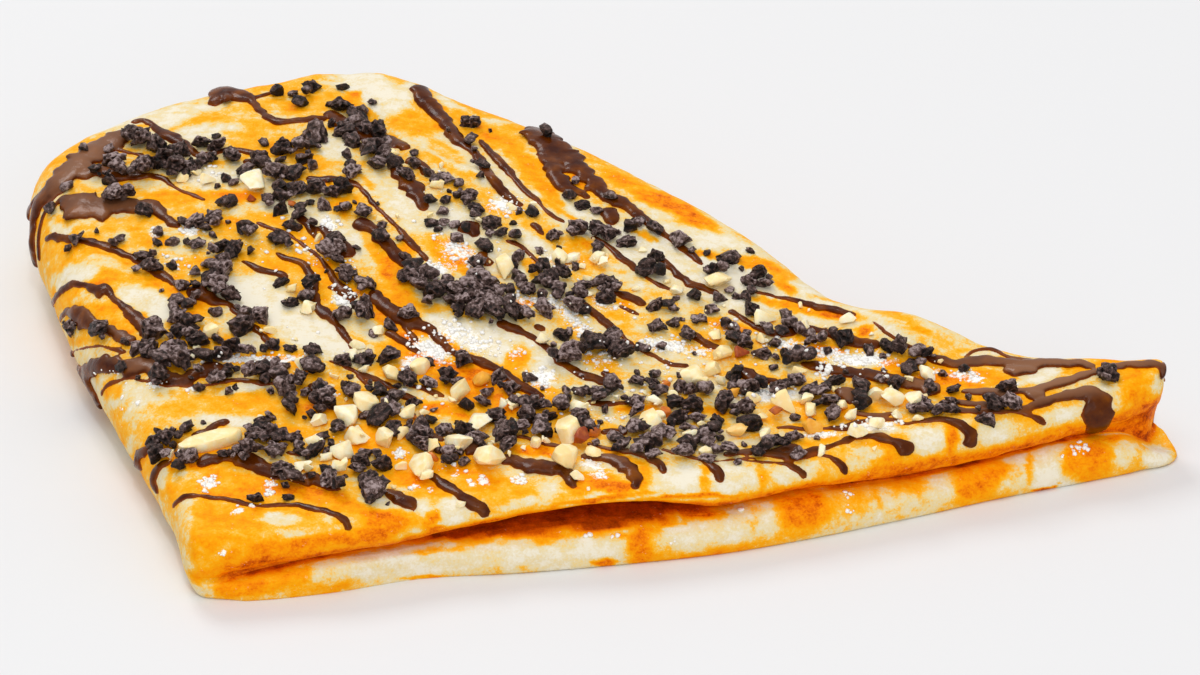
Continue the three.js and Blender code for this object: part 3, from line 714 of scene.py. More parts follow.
# Where icing sugar lies thickest, by pixel: u, v, half length, half width, turn, number of grains.
sugarValues = {
    "spots": [
        (190, 230, 9, 5, 0, 120), (157, 233, 7, 3, 0, 40), (205, 178, 16, 8, 0, 50),
        (345, 297, 12, 9, -30, 170), (328, 224, 9, 8, 0, 90), (315, 252, 16, 9, -40, 60),
        (440, 268, 14, 8, 0, 120), (456, 250, 20, 11, -30, 190), (474, 262, 8, 8, 0, 60),
        (505, 206, 14, 8, 0, 170), (430, 349, 22, 9, -25, 260), (414, 362, 10, 7, 0, 80),
        (452, 335, 24, 10, -25, 190), (478, 341, 22, 11, -25, 190), (541, 378, 12, 10, 0, 190),
        (512, 352, 14, 8, 0, 60), (555, 261, 22, 9, -10, 150), (538, 301, 32, 6, -8, 170),
        (570, 315, 18, 7, -25, 110), (585, 331, 20, 6, -30, 110), (612, 306, 22, 6, -20, 80),
        (645, 346, 16, 5, -15, 70), (668, 345, 22, 6, -10, 160), (602, 360, 20, 7, -20, 90),
        (700, 352, 14, 6, 0, 60), (722, 326, 20, 7, 0, 60), (770, 394, 30, 7, 0, 260),
        (790, 345, 22, 5, 0, 110), (824, 371, 7, 8, 0, 130), (862, 360, 28, 7, 0, 260),
        (830, 354, 14, 5, 0, 80), (868, 425, 26, 5, 5, 190), (820, 435, 18, 3, 5, 70),
        (592, 464, 10, 4, -20, 46), (600, 475, 6, 4, 0, 30), (519, 481, 8, 4, 0, 70),
        (482, 480, 5, 3, 0, 20), (470, 482, 3, 2, 0, 10), (457, 475, 3, 2, 0, 9), (413, 488, 5, 3, 0, 18),
        (428, 490, 3, 2, 0, 9), (461, 470, 20, 5, -10, 24), (209, 482, 8, 7, 0, 120),
        (270, 483, 5, 4, 0, 46), (270, 493, 5, 3, 0, 40), (238, 510, 5, 3, 0, 20), (223, 553, 5, 3, 0, 16),
        (255, 506, 4, 2, 0, 10), (399, 454, 6, 5, 0, 50), (262, 359, 46, 3, 3, 190),
        (225, 356, 14, 4, 0, 60), (120, 372, 24, 2, 0, 40), (156, 385, 9, 3, 0, 30), (190, 388, 6, 4, 0, 36),
        (190, 450, 14, 3, 5, 46), (330, 393, 8, 6, 0, 50), (847, 495, 7, 3, 0, 24), (850, 508, 5, 4, 0, 22),
        (1080, 448, 7, 5, -10, 80), (1063, 452, 8, 5, 0, 8), (963, 375, 14, 5, 0, 60),
        (977, 379, 8, 3, 0, 34), (935, 372, 7, 4, 0, 26), (610, 418, 26, 5, 0, 60), (650, 395, 40, 8, 0, 50),
        (345, 268, 14, 8, -30, 40), (305, 345, 60, 20, -20, 40), (170, 262, 26, 9, -10, 60),
        (560, 400, 60, 20, -10, 90), (660, 380, 70, 20, 0, 140), (730, 350, 60, 20, 0, 120),
        (290, 250, 60, 30, -30, 120), (480, 230, 70, 30, -30, 140), (900, 380, 60, 18, 0, 90),
        (613, 536, 4, 3, 0, 12), (672, 541, 6, 3, 0, 12), (742, 509, 4, 3, 0, 12), (584, 536, 5, 2, 0, 12),
        (555, 290, 60, 20, 0, 90), (125, 400, 30, 14, 20, 40), (330, 430, 60, 12, 0, 50),
        (450, 395, 60, 12, 0, 50), (1010, 388, 30, 6, 0, 20),
    ],
    "sizes": (0.28, 1.0),
    "sizeBend": 2.2,  # more than 1 makes more small grains than large ones
    "flatness": 0.45,
    "lift": 0.12,  # share of its size that a grain's middle lies over the crepe
    "crowd": 0.27,  # share of the numbers above that is laid
    "spread": (0.7, 1.7),  # how far past a spot's half lengths its grains may lie
    "powder": 0.8,  # how white the finest sugar makes the batter round them
    "shapes": 3,
    "shapeRange": (0.7, 0.6),  # a corner's least distance from a grain's middle, and what chance adds to it
    "onCrumbs": 0.1,  # share of the grains that stay where crumbs and nuts are in the way
    "seed": 41,
}


def turnedPixel(u, v, turn, along, across):
    # the pixel that lies that far along and across a turned direction from another
    c, s = math.cos(math.radians(turn)), math.sin(math.radians(turn))
    return u + along * c + across * s, v - along * s + across * c


def patchShare(u, v, patch, power):
    # 1 inside a patch of the view, 0 well outside it
    turn = math.radians(patch[4])
    du, dv = u - patch[0], patch[1] - v
    along = (du * math.cos(turn) + dv * math.sin(turn)) / patch[2]
    across = (dv * math.cos(turn) - du * math.sin(turn)) / patch[3]
    return np.exp(-(along ** 2 + across ** 2) ** power)


def paintBrowningAndShade(piece, values, sugar):
    points, normals = vertexArray(piece), normalArray(piece)
    turns, falls = readAttribute(piece, "turn"), readAttribute(piece, "fall")
    u, v = pixelArray(points)
    for seed, (size, reach) in enumerate((values["warp"], values["fray"])):
        u = u + reach * noiseField(points, size, 3.1 + seed)
        v = v + reach * 0.7 * noiseField(points, size, 9.7 + seed)
    size, stretch, strength = values["loose"]
    loose = noiseField(points, size, 15.5, stretch, reliefValues["streakTurn"])
    loose = values["base"] + strength * loose
    upper, lower = loose.copy(), loose.copy()
    for tones, key, border in zip((upper, lower), ("patches", "lowerPatches"), values["patchBorders"]):
        for patch in values[key]:
            tones += (patch[5] - tones) * values["patchPull"] * patchShare(u, v, patch, border)
    # the rows of the mesh tell the upper fold, the crease and the lower lip apart
    row = falls * meshRows - crepeForm["topRows"] - crepeForm["foldRows"]
    stations = stationOf(turns)
    lips = np.interp(stations, np.arange(stationCount + 1), np.append(stationTable[:, 7], stationTable[0, 7]))
    lips = np.clip(lips * 1.4 - 0.3, 0, 1)
    tone = np.where(row > values["lowerRow"], lower, upper)
    # what faces away from the view gets the loose browning alone
    seen = np.clip(normals @ np.array(viewBack) * 5 + 0.6, 0, 1)
    tone = np.where(lips > 0.5, loose + (tone - loose) * seen, loose + (upper - loose) * seen)
    # the lip over the crease is painted darker towards it: painted shade
    start, soft, much = values["lipBand"]
    middle, half = values["creaseBand"]
    lipShade = np.exp(-(np.maximum(0, start - row) / soft) ** 2) * lips * (row < middle)
    tone += (np.maximum(tone, values["lipShadeTone"]) - tone) * lipShade * much
    # the inside of the crease is painted dark as painted shade: on the front by the pixel border, elsewhere
    # by the rows
    front = (stations > values["frontStations"][0]) | (stations < values["frontStations"][1])
    edgeU, edgeV = np.array(values["lipEdge"]).T
    above = np.clip((np.interp(u, edgeU, edgeV) - v) / values["lipEdgeSoft"] + 0.5, 0, 1)
    above *= row > values["creaseRow"]
    creaseShadeMask = np.where(front, above, np.exp(-((row - middle) / half) ** 4)) * lips
    tone += (values["creaseShadeTone"] - tone) * creaseShadeMask
    writeAttribute(piece, "browningAndShade", tone)
    writeAttribute(piece, "creaseShade", creaseShadeMask)
    powder = np.zeros(len(points))
    for spot in sugar["spots"]:
        crowd = min(1.0, spot[5] / (spot[2] * spot[3]) * sugar["powder"])
        powder = np.maximum(powder, crowd * patchShare(u, v, spot, 1.0))
    writeAttribute(piece, "powder", powder * seen * (row < 0))


paintBrowningAndShade(body, browningAndShadeValues, sugarValues)
for name in ("turn", "fall"):
    body.data.attributes.remove(body.data.attributes[name])
print("browning painted")


# Thin wheat batter fried on a hot plate: matte, a little greasy, cream where it was lifted off the plate,
# orange and lacy where it touched it, with icing sugar sifted over it.
batterValues = {
    "stops": [(0.0, "#efe6d0"), (0.12, "#e9d8ae"), (0.22, "#eed28e"), (0.3, "#f9bb40"), (0.42, "#fcab08"),
              (0.55, "#fb9800"), (0.66, "#f07c00"), (0.78, "#c85200"), (0.88, "#802a00"), (1.0, "#3c0e00")],
    "toneShare": 0.82,
    # size in mm, detail and roughness of the streaks that the spreading tool leaves, the mottling, the crisp
    # grain and the sifted sugar
    "noises": {"streaks": (1.9, 5.0, 0.66), "mottle": (3.4, 6.0, 0.64), "grain": (0.4, 3.0, 0.65),
               "powder": (0.9, 5.0, 0.8)},
    "laceSize": 1.3,  # mm between the bubbles of the lacy side
    "shares": {"streaks": 0.42, "mottle": 0.62, "lace": 0.2, "grain": 0.4},  # in the browning
    "heights": {"grain": 0.4, "streaks": 0.5},  # in the bump, beside the lace
    "creaseShade": (0.65, 0.86),  # how even the painted shade inside the crease is, and its share of the tone there
    "streakScale": 0.25,  # how much finer a streak is along its way than across
    "sugarColor": "#fffdf8",
    "sugarGain": 0.4,  # how much the sifted sugar adds to its noise, which shows as the stops say
    "sugarStops": [(0.65, 0.0), (0.76, 1.0)],
    "roughness": 0.55,
    "bump": (0.4, 0.3),  # strength, and distance in mm
}


def makeBatter(values):
    material, tree, shader = newMaterial("pan-fried batter", {
        "Roughness": values["roughness"], "IOR": 1.45, "Specular IOR Level": 0.06})
    coords = addNode(tree, "TexCoord", out="Object")
    turn = math.radians(-reliefValues["streakTurn"])
    turned = addNode(tree, "Mapping", {"Vector": coords, "Rotation": (0, 0, turn),
                                       "Scale": (values["streakScale"], 1, 1)})
    tone, creaseShade, powder = (addNode(tree, "Attribute", out="Fac", attribute_name=name)
                          for name in ("browningAndShade", "creaseShade", "powder"))
    parts = {}
    for name, (size, detail, roughness) in values["noises"].items():
        parts[name] = addNode(tree, "TexNoise", {"Vector": turned if name == "streaks" else coords,
                                                 "Scale": 1 / (size * mm), "Detail": detail,
                                                 "Roughness": roughness})
    parts["lace"] = addNode(tree, "TexVoronoi", {"Vector": coords, "Scale": 1 / (values["laceSize"] * mm)},
                            feature="SMOOTH_F1")
    total = addNode(tree, "Math", {0: tone, 1: values["toneShare"]}, operation="MULTIPLY")
    for name, share in values["shares"].items():
        shifted = addNode(tree, "Math", {0: parts[name], 1: 0.5}, operation="SUBTRACT")
        total = addNode(tree, "Math", {0: shifted, 1: share, 2: total}, operation="MULTIPLY_ADD")
    # inside the crease the colour is the even painted shade
    evenShare, evenTone = values["creaseShade"]
    creaseShade = addNode(tree, "Math", {0: creaseShade, 1: evenShare}, operation="MULTIPLY")
    even = addNode(tree, "Math", {0: tone, 1: evenTone}, operation="MULTIPLY")
    total = addNode(tree, "MixRGB", {"Fac": creaseShade, "Color1": total, "Color2": even})
    color = addNode(tree, "ValToRGB", {"Fac": total}, stops=values["stops"])
    # sugar: small grains where the attribute is high
    dusted = addNode(tree, "Math", {0: powder, 1: values["sugarGain"], 2: parts["powder"]},
                     operation="MULTIPLY_ADD")
    dust = addNode(tree, "ValToRGB", {"Fac": dusted}, stops=values["sugarStops"])
    color = addNode(tree, "MixRGB", {"Fac": dust, "Color1": color,
                                     "Color2": linearColor(values["sugarColor"])})
    height = parts["lace"]
    for name, share in values["heights"].items():
        height = addNode(tree, "Math", {0: parts[name], 1: share, 2: height}, operation="MULTIPLY_ADD")
    linkFinish(tree, shader, color, height, *values["bump"])
    return material


finishPiece(body, makeBatter(batterValues))


# Each stroke is the pixels it runs through and how many pixels wide it shows there.
drizzleValues = {
    "strokes": [
        # left rim
        [(36, 262, 5), (34, 245, 5), (34, 228, 5), (37, 210, 9), (45, 197, 12), (57, 184, 15), (68, 173, 17),
         (82, 162, 19), (95, 152, 19), (108, 145, 17), (120, 138, 13), (131, 132, 8)],
        [(40, 262, 3), (39, 240, 3), (41, 225, 3), (47, 208, 3), (55, 197, 3), (66, 190, 3), (75, 185, 3)],
        [(28, 222, 3), (29, 212, 3), (33, 203, 3), (42, 192, 3), (48, 187, 3)],
        [(130, 123, 3), (141, 121, 4), (150, 123, 5), (158, 131, 7), (170, 137, 9), (182, 144, 8),
         (192, 151, 6), (202, 156, 5), (230, 150, 4), (250, 153, 5), (262, 156, 5)],
        [(117, 149, 4), (130, 153, 3), (145, 156, 3)],
        [(75, 178, 6), (100, 172, 9), (120, 176, 10), (135, 177, 7), (150, 176, 5), (162, 178, 5),
         (170, 184, 4), (180, 190, 3), (195, 196, 3), (206, 201, 3)],
        [(52, 210, 3), (62, 200, 6), (78, 205, 26), (90, 207, 24), (105, 208, 19), (120, 206, 15),
         (135, 207, 13), (150, 207, 12), (160, 213, 9), (170, 222, 8), (180, 228, 5)],
        [(44, 240, 4), (50, 237, 6), (60, 238, 7), (67, 239, 7), (85, 241, 6), (97, 244, 7), (110, 249, 7),
         (120, 253, 6), (132, 258, 6), (140, 262, 6), (152, 270, 8), (160, 275, 8), (168, 279, 8),
         (176, 286, 5)],
        [(52, 306, 3), (55, 299, 4), (62, 291, 5), (69, 286, 6), (78, 284, 6), (88, 286, 6), (93, 290, 9),
         (100, 292, 10), (108, 291, 10), (112, 297, 6), (118, 302, 6), (124, 307, 7), (130, 312, 8),
         (136, 318, 9), (141, 322, 11), (146, 330, 12), (150, 338, 10)],
        [(122, 313, 3), (128, 317, 4), (132, 322, 4), (138, 326, 3)],
        [(60, 322, 3), (62, 316, 4), (68, 311, 7), (74, 313, 12), (80, 316, 17), (87, 321, 15), (97, 327, 9),
         (108, 330, 9), (118, 335, 10), (127, 340, 10), (136, 343, 9)],
        [(66, 362, 6), (68, 357, 4), (72, 352, 3), (80, 349, 3), (90, 347, 3), (98, 346, 3), (106, 347, 3),
         (113, 349, 4), (120, 350, 5), (127, 353, 4)],
        [(96, 408, 4), (92, 404, 6), (88, 398, 7), (85, 391, 7), (83, 384, 8), (86, 375, 12), (93, 368, 13),
         (104, 365, 14), (118, 365, 14), (130, 366, 14), (142, 367, 14), (152, 369, 14), (160, 374, 14),
         (168, 379, 12), (180, 381, 10), (190, 378, 10), (200, 373, 10), (210, 370, 12), (218, 369, 12),
         (226, 366, 8)],
        [(79, 384, 5), (79, 376, 7), (82, 370, 7), (90, 366, 6)],
        [(101, 397, 3), (103, 391, 3), (108, 385, 4), (115, 382, 4), (122, 380, 3), (130, 378, 3),
         (140, 380, 3), (150, 382, 3), (160, 384, 4), (170, 385, 4), (190, 386, 3), (210, 385, 3),
         (225, 381, 4), (240, 380, 4), (255, 382, 5), (270, 384, 4), (282, 383, 4)],
        [(185, 292, 8), (195, 292, 10), (203, 296, 12), (212, 301, 9), (222, 303, 6), (229, 304, 5),
         (234, 310, 6), (242, 317, 5), (252, 325, 5), (258, 331, 6), (264, 337, 6), (270, 345, 5)],
        [(190, 436, 4), (200, 434, 6), (207, 433, 6), (213, 427, 6), (221, 423, 6), (231, 422, 4)],
        [(143, 470, 3), (139, 465, 5), (137, 460, 6), (141, 454, 8), (148, 450, 7), (156, 448, 6),
         (163, 446, 4)],
        [(159, 494, 4), (155, 486, 5), (154, 480, 6), (156, 473, 6), (161, 466, 7), (167, 463, 6),
         (173, 461, 5)],
        [(172, 509, 3), (176, 503, 4), (182, 498, 5), (190, 496, 5), (200, 496, 4), (212, 498, 4),
         (225, 499, 4), (235, 501, 5), (245, 504, 4), (258, 506, 3), (270, 506, 4), (285, 505, 4),
         (300, 505, 4), (310, 508, 5), (320, 510, 5), (330, 513, 5), (340, 517, 6), (346, 522, 8),
         (349, 528, 8), (351, 532, 6)],
        [(198, 459, 10), (206, 461, 12), (214, 460, 10), (223, 459, 6), (232, 457, 9), (240, 459, 13),
         (248, 462, 15), (256, 465, 13), (264, 469, 12), (272, 473, 12), (284, 477, 6), (297, 480, 6),
         (307, 480, 11), (315, 480, 12), (322, 484, 8), (332, 488, 6), (342, 490, 5)],
        [(285, 452, 4), (295, 454, 4), (305, 455, 4)],
        # the far left of the top
        [(215, 107, 8), (217, 98, 14), (224, 94, 14), (235, 95, 12), (245, 99, 9), (252, 101, 7),
         (258, 108, 6), (265, 115, 6), (273, 121, 6), (283, 122, 5), (300, 121, 5), (315, 120, 6),
         (327, 119, 6)],
        [(252, 99, 3), (268, 94, 3), (275, 92, 3)],
        [(242, 161, 4), (252, 162, 4), (262, 160, 4)],
        [(305, 178, 4), (320, 180, 5), (338, 180, 5), (350, 183, 5), (360, 187, 4), (367, 195, 5),
         (373, 203, 5), (380, 211, 4), (390, 220, 4), (402, 232, 5), (412, 244, 6), (420, 252, 5)],
        [(295, 215, 5), (305, 222, 8), (313, 232, 7), (318, 240, 5)],
        [(318, 226, 6), (330, 236, 8), (342, 246, 12), (352, 258, 12)],
        [(255, 222, 3), (270, 228, 4), (285, 233, 4), (298, 241, 3), (310, 250, 4), (322, 260, 4),
         (328, 270, 6), (335, 280, 7), (341, 288, 9), (349, 294, 9), (356, 300, 8)],
        [(353, 222, 10), (370, 228, 10), (380, 238, 10), (390, 248, 10), (399, 258, 10), (406, 268, 9)],
        [(326, 112, 8), (338, 120, 10), (350, 130, 12), (362, 136, 10), (374, 138, 12), (385, 140, 9),
         (395, 144, 9), (408, 150, 8)],
        [(375, 120, 5), (382, 132, 8), (386, 145, 10), (392, 160, 10), (399, 172, 12), (408, 184, 14),
         (415, 192, 14), (421, 203, 11), (424, 212, 6)],
        [(405, 160, 8), (415, 162, 8), (425, 170, 8), (432, 175, 8)],
        [(400, 236, 5), (410, 243, 5), (420, 252, 5), (428, 262, 5)],
        [(240, 261, 3), (250, 264, 5), (257, 269, 6), (265, 271, 5), (273, 273, 5), (282, 275, 6),
         (288, 280, 4)],
        [(275, 252, 3), (285, 258, 5), (295, 261, 6), (302, 264, 7), (308, 271, 8), (313, 280, 8),
         (313, 290, 9), (315, 300, 9), (319, 308, 8), (325, 314, 9), (331, 318, 9), (336, 324, 7),
         (341, 331, 7), (347, 337, 7), (351, 345, 5), (353, 352, 3)],
        [(326, 286, 3), (335, 290, 3), (345, 297, 3), (355, 304, 4)],
        [(372, 290, 12), (380, 303, 12), (390, 311, 12), (401, 317, 14), (411, 322, 13), (419, 326, 9),
         (430, 330, 9), (440, 341, 8), (450, 350, 6), (458, 356, 5), (471, 359, 7), (485, 364, 8),
         (497, 370, 7), (508, 377, 8), (520, 386, 8), (533, 393, 7), (545, 398, 6)],
        [(385, 331, 6), (395, 337, 7), (405, 343, 7), (412, 348, 6), (421, 354, 5)],
        [(402, 325, 5), (410, 333, 5), (418, 343, 6)],
        [(328, 360, 3), (345, 366, 4), (355, 372, 4), (365, 376, 5), (375, 379, 5), (385, 384, 5),
         (395, 391, 6), (405, 397, 6), (418, 400, 5)],
        [(355, 373, 3), (362, 380, 4), (368, 386, 4), (372, 391, 4)],
        [(310, 383, 5), (316, 392, 9), (325, 399, 10), (335, 404, 8)],
        # from the far edge down to the middle
        [(418, 86, 14), (424, 100, 14), (436, 112, 12), (445, 122, 11), (452, 133, 11), (459, 142, 10),
         (470, 149, 6), (478, 158, 8), (490, 176, 8), (499, 187, 9), (508, 197, 7), (523, 207, 4)],
        [(479, 139, 5), (487, 149, 6), (499, 162, 7), (510, 173, 7), (520, 186, 5), (530, 195, 5),
         (538, 201, 4), (543, 208, 3), (550, 214, 4), (558, 220, 4), (566, 222, 3)],
        [(531, 222, 5), (538, 229, 6), (544, 236, 4)],
        [(524, 128, 5), (538, 134, 18), (548, 144, 24), (555, 155, 26), (553, 172, 15), (562, 185, 13),
         (570, 190, 10), (580, 193, 6), (590, 199, 5)],
        [(556, 146, 20), (564, 156, 22), (575, 166, 16), (587, 178, 14), (595, 186, 14), (603, 194, 12),
         (612, 200, 10), (622, 203, 11), (635, 213, 8), (655, 228, 8), (665, 235, 5), (685, 250, 6),
         (695, 258, 6), (703, 266, 3)],
        [(606, 208, 12), (610, 217, 13), (613, 226, 9)],
        [(590, 237, 4), (605, 243, 4), (615, 252, 5), (622, 259, 6), (632, 266, 6), (642, 274, 4),
         (650, 280, 3), (662, 286, 4), (672, 291, 3)],
        [(655, 255, 5), (668, 265, 6), (680, 277, 6), (692, 285, 6), (703, 288, 6), (725, 298, 4)],
        [(462, 222, 13), (470, 230, 13), (478, 237, 8)],
        [(505, 240, 3), (517, 244, 4), (527, 251, 4), (535, 260, 4), (543, 268, 3)],
        [(478, 252, 9), (484, 259, 9), (490, 267, 8)],
        [(498, 320, 6), (505, 325, 8), (517, 330, 7), (530, 336, 5), (541, 343, 5), (549, 349, 6),
         (556, 358, 7), (567, 366, 7), (580, 374, 7), (595, 379, 7), (610, 384, 6), (622, 388, 4)],
        [(533, 325, 5), (540, 328, 6), (546, 331, 4)],
        [(575, 300, 5), (588, 309, 7), (600, 318, 7), (610, 326, 7), (620, 336, 6)],
        [(612, 292, 4), (625, 296, 6), (635, 300, 7), (646, 306, 6)],
        [(618, 305, 3), (630, 311, 4), (640, 316, 3)],
        [(690, 333, 6), (700, 340, 7), (710, 346, 6), (721, 348, 4)],
        [(728, 310, 4), (740, 317, 5), (752, 325, 5), (770, 333, 6), (785, 334, 7), (797, 330, 5),
         (808, 328, 5), (820, 331, 5), (832, 335, 7), (845, 340, 9), (858, 343, 9), (870, 345, 8),
         (882, 345, 6)],
        [(605, 318, 4), (615, 328, 4), (623, 337, 4), (632, 345, 4), (640, 350, 4), (652, 355, 4),
         (672, 365, 4), (690, 366, 4)],
        [(600, 372, 6), (612, 378, 6), (621, 384, 5)],
        [(737, 369, 9), (746, 375, 11), (755, 380, 9), (765, 381, 6), (780, 381, 4)],
        # along the far edge towards the tip
        [(745, 290, 3), (765, 294, 3), (780, 298, 3), (790, 299, 4), (800, 302, 5), (812, 306, 6),
         (825, 308, 6), (840, 311, 5), (852, 314, 4), (857, 316, 3)],
        [(872, 320, 2), (880, 327, 4), (888, 334, 4), (897, 340, 4), (905, 345, 4), (925, 353, 5),
         (935, 360, 9), (945, 363, 9), (955, 364, 8), (972, 363, 8), (984, 362, 8), (1000, 363, 9),
         (1008, 364, 9), (1020, 365, 8), (1032, 365, 8), (1056, 364, 7), (1075, 364, 7), (1088, 365, 6),
         (1096, 367, 3)],
        [(1002, 369, 6), (1012, 371, 8), (1022, 372, 9), (1031, 371, 9), (1037, 368, 5)],
        [(963, 358, 3), (970, 353, 3), (978, 350, 3), (990, 349, 3), (998, 352, 3), (1008, 357, 3),
         (1020, 359, 3), (1040, 361, 2)],
        [(960, 392, 4), (975, 392, 6), (990, 392, 7), (1005, 393, 8), (1018, 392, 6), (1032, 391, 6),
         (1045, 388, 7), (1056, 385, 8), (1068, 381, 8), (1080, 377, 7), (1090, 374, 6), (1099, 371, 5),
         (1110, 368, 5), (1121, 366, 6), (1135, 365, 6), (1147, 364, 6), (1157, 365, 6), (1163, 369, 6),
         (1166, 375, 4), (1166, 381, 3)],
        [(1024, 395, 6), (1035, 396, 8), (1046, 393, 4)],
        # the hooked strokes over the front lip
        [(385, 489, 6), (393, 496, 10), (402, 500, 11), (409, 504, 11), (413, 508, 9), (414, 512, 6)],
        [(430, 473, 5), (436, 478, 8), (443, 485, 9), (450, 489, 8), (458, 494, 8), (466, 499, 9),
         (474, 505, 10), (482, 510, 10), (487, 514, 9), (489, 517, 7)],
        [(463, 448, 12), (471, 449, 15), (481, 453, 12)],
        [(500, 458, 9), (510, 461, 10), (520, 464, 11), (530, 466, 12), (540, 468, 12), (550, 469, 13),
         (560, 470, 12), (566, 472, 12), (571, 478, 12), (573, 484, 9), (573, 490, 5)],
        [(580, 455, 6), (590, 458, 5), (600, 458, 6), (609, 459, 8), (618, 463, 12), (627, 468, 13),
         (633, 474, 12), (636, 481, 10), (635, 487, 8), (633, 491, 5)],
        [(586, 443, 3), (600, 447, 3), (615, 450, 4), (630, 452, 5), (643, 456, 5), (653, 460, 6),
         (660, 465, 7), (664, 470, 7), (663, 475, 5)],
        [(700, 461, 3), (707, 463, 5), (713, 467, 7), (718, 473, 9), (720, 479, 8), (720, 484, 6)],
        [(660, 449, 3), (675, 453, 3), (690, 457, 3), (702, 460, 3), (715, 461, 2), (730, 460, 2),
         (745, 458, 2), (757, 459, 2)],
        [(722, 455, 4), (735, 454, 5), (748, 452, 6), (760, 452, 6), (775, 455, 7), (785, 456, 7),
         (795, 455, 6), (805, 452, 6), (815, 450, 5), (826, 448, 5), (835, 445, 5), (845, 441, 6),
         (853, 438, 6), (862, 437, 6), (872, 437, 6), (882, 438, 7), (893, 441, 8), (902, 446, 11),
         (908, 451, 12), (910, 456, 9)],
        [(740, 460, 2), (750, 461, 2), (762, 462, 3), (775, 463, 3), (789, 465, 4), (797, 470, 7),
         (803, 474, 8), (807, 478, 6)],
        [(785, 463, 2), (795, 460, 3), (808, 457, 3), (822, 455, 3), (830, 457, 4), (837, 461, 6),
         (842, 466, 7), (845, 471, 7), (846, 476, 5)],
        [(775, 428, 3), (790, 427, 3), (800, 429, 4), (815, 429, 3), (828, 428, 3), (838, 429, 5),
         (848, 427, 5), (858, 422, 4), (870, 420, 3), (882, 420, 3), (895, 420, 3), (905, 424, 3),
         (915, 422, 3), (930, 420, 4), (943, 420, 5), (952, 422, 7), (960, 425, 9), (966, 430, 10),
         (970, 437, 12), (971, 443, 12), (970, 449, 8)],
        [(850, 411, 3), (862, 415, 4), (875, 416, 4), (885, 415, 4), (895, 412, 3)],
        [(834, 391, 6), (842, 393, 11), (849, 397, 13), (850, 405, 9)],
        [(800, 363, 5), (815, 367, 8), (828, 369, 8), (840, 372, 9), (852, 374, 9), (865, 375, 9),
         (878, 377, 10), (890, 380, 9), (901, 383, 10), (912, 384, 10), (922, 387, 12), (932, 390, 13),
         (941, 393, 10)],
        [(940, 401, 3), (955, 402, 5), (970, 404, 5), (985, 405, 5), (1000, 404, 4)],
        [(948, 409, 5), (965, 411, 5), (980, 412, 5), (1000, 412, 4), (1015, 411, 5), (1027, 408, 6),
         (1040, 404, 8), (1052, 400, 8), (1065, 396, 8), (1078, 394, 9), (1088, 394, 14), (1094, 398, 22),
         (1098, 404, 27), (1099, 411, 28), (1099, 418, 27), (1098, 425, 22), (1097, 430, 14)],
        [(1015, 413, 3), (1027, 415, 4), (1037, 418, 5), (1043, 422, 6), (1046, 426, 4)],
        # flat shavings between the crumbs
        [(402, 426, 5), (415, 431, 6), (430, 436, 6), (445, 441, 4)],
        [(515, 436, 3), (530, 439, 4), (550, 445, 4), (566, 447, 3)],
        [(586, 401, 4), (600, 404, 5), (615, 404, 4), (632, 402, 3)],
        [(404, 384, 4), (420, 388, 5), (436, 394, 5), (446, 397, 4)],
        [(455, 425, 5), (466, 432, 6), (478, 441, 7), (486, 447, 5)],
        [(600, 433, 5), (614, 432, 6), (628, 434, 5)],
        [(770, 452, 4), (785, 449, 6), (800, 446, 5)],
    ],
    "widen": 1.3,
    "tallness": 0.28,  # height over width
    "tallest": 0.85,
    "narrowest": 0.55,
    "rolling": (0.25, 4.0),  # share by which the height changes along a stroke, and the size of it in mm
    "flatTop": 0.75,  # 1 makes a stroke's top round, less makes it flatter
    "sunk": 0.3,  # mm pressed into the crepe
    "step": 3.0,  # pixels between rings
    "sides": 14,
    "ragged": (0.3, 1.5),  # share of the width that the two edges wander, and the size of it in mm
    "voxel": 0.26,
    "smoothing": 3,
    "triangles": 192000,
}


def smoothLine(points, step):
    # places about a step apart on a Catmull-Rom line through the given ones
    line = []
    for i in range(len(points) - 1):
        a, b, c, d = (np.array(points[min(max(i + k, 0), len(points) - 1)], float) for k in (-1, 0, 1, 2))
        count = max(1, round(np.hypot(*(c - b)[:2]) / step))
        for k in range(count):
            t = k / count
            line.append(0.5 * (2 * b + (c - a) * t + (2 * a - 5 * b + 4 * c - d) * t * t
                               + (3 * b - 3 * c + d - a) * t ** 3))
    line.append(np.array(points[-1], float))
    return line


def shownWidth(place, side, normal, along, tallness):
    # pixels that a bead one mm wide shows across its way
    u, v = pixelOf(place)
    ahead = np.array(pixelOf(place + along)) - (u, v)
    across = np.array((-ahead[1], ahead[0])) / max(np.hypot(*ahead), 1e-6)
    flat = abs((np.array(pixelOf(place + side)) - (u, v)) @ across)
    tall = abs((np.array(pixelOf(place + normal)) - (u, v)) @ across) * tallness
    return flat / 2 + math.hypot(flat / 2, tall)


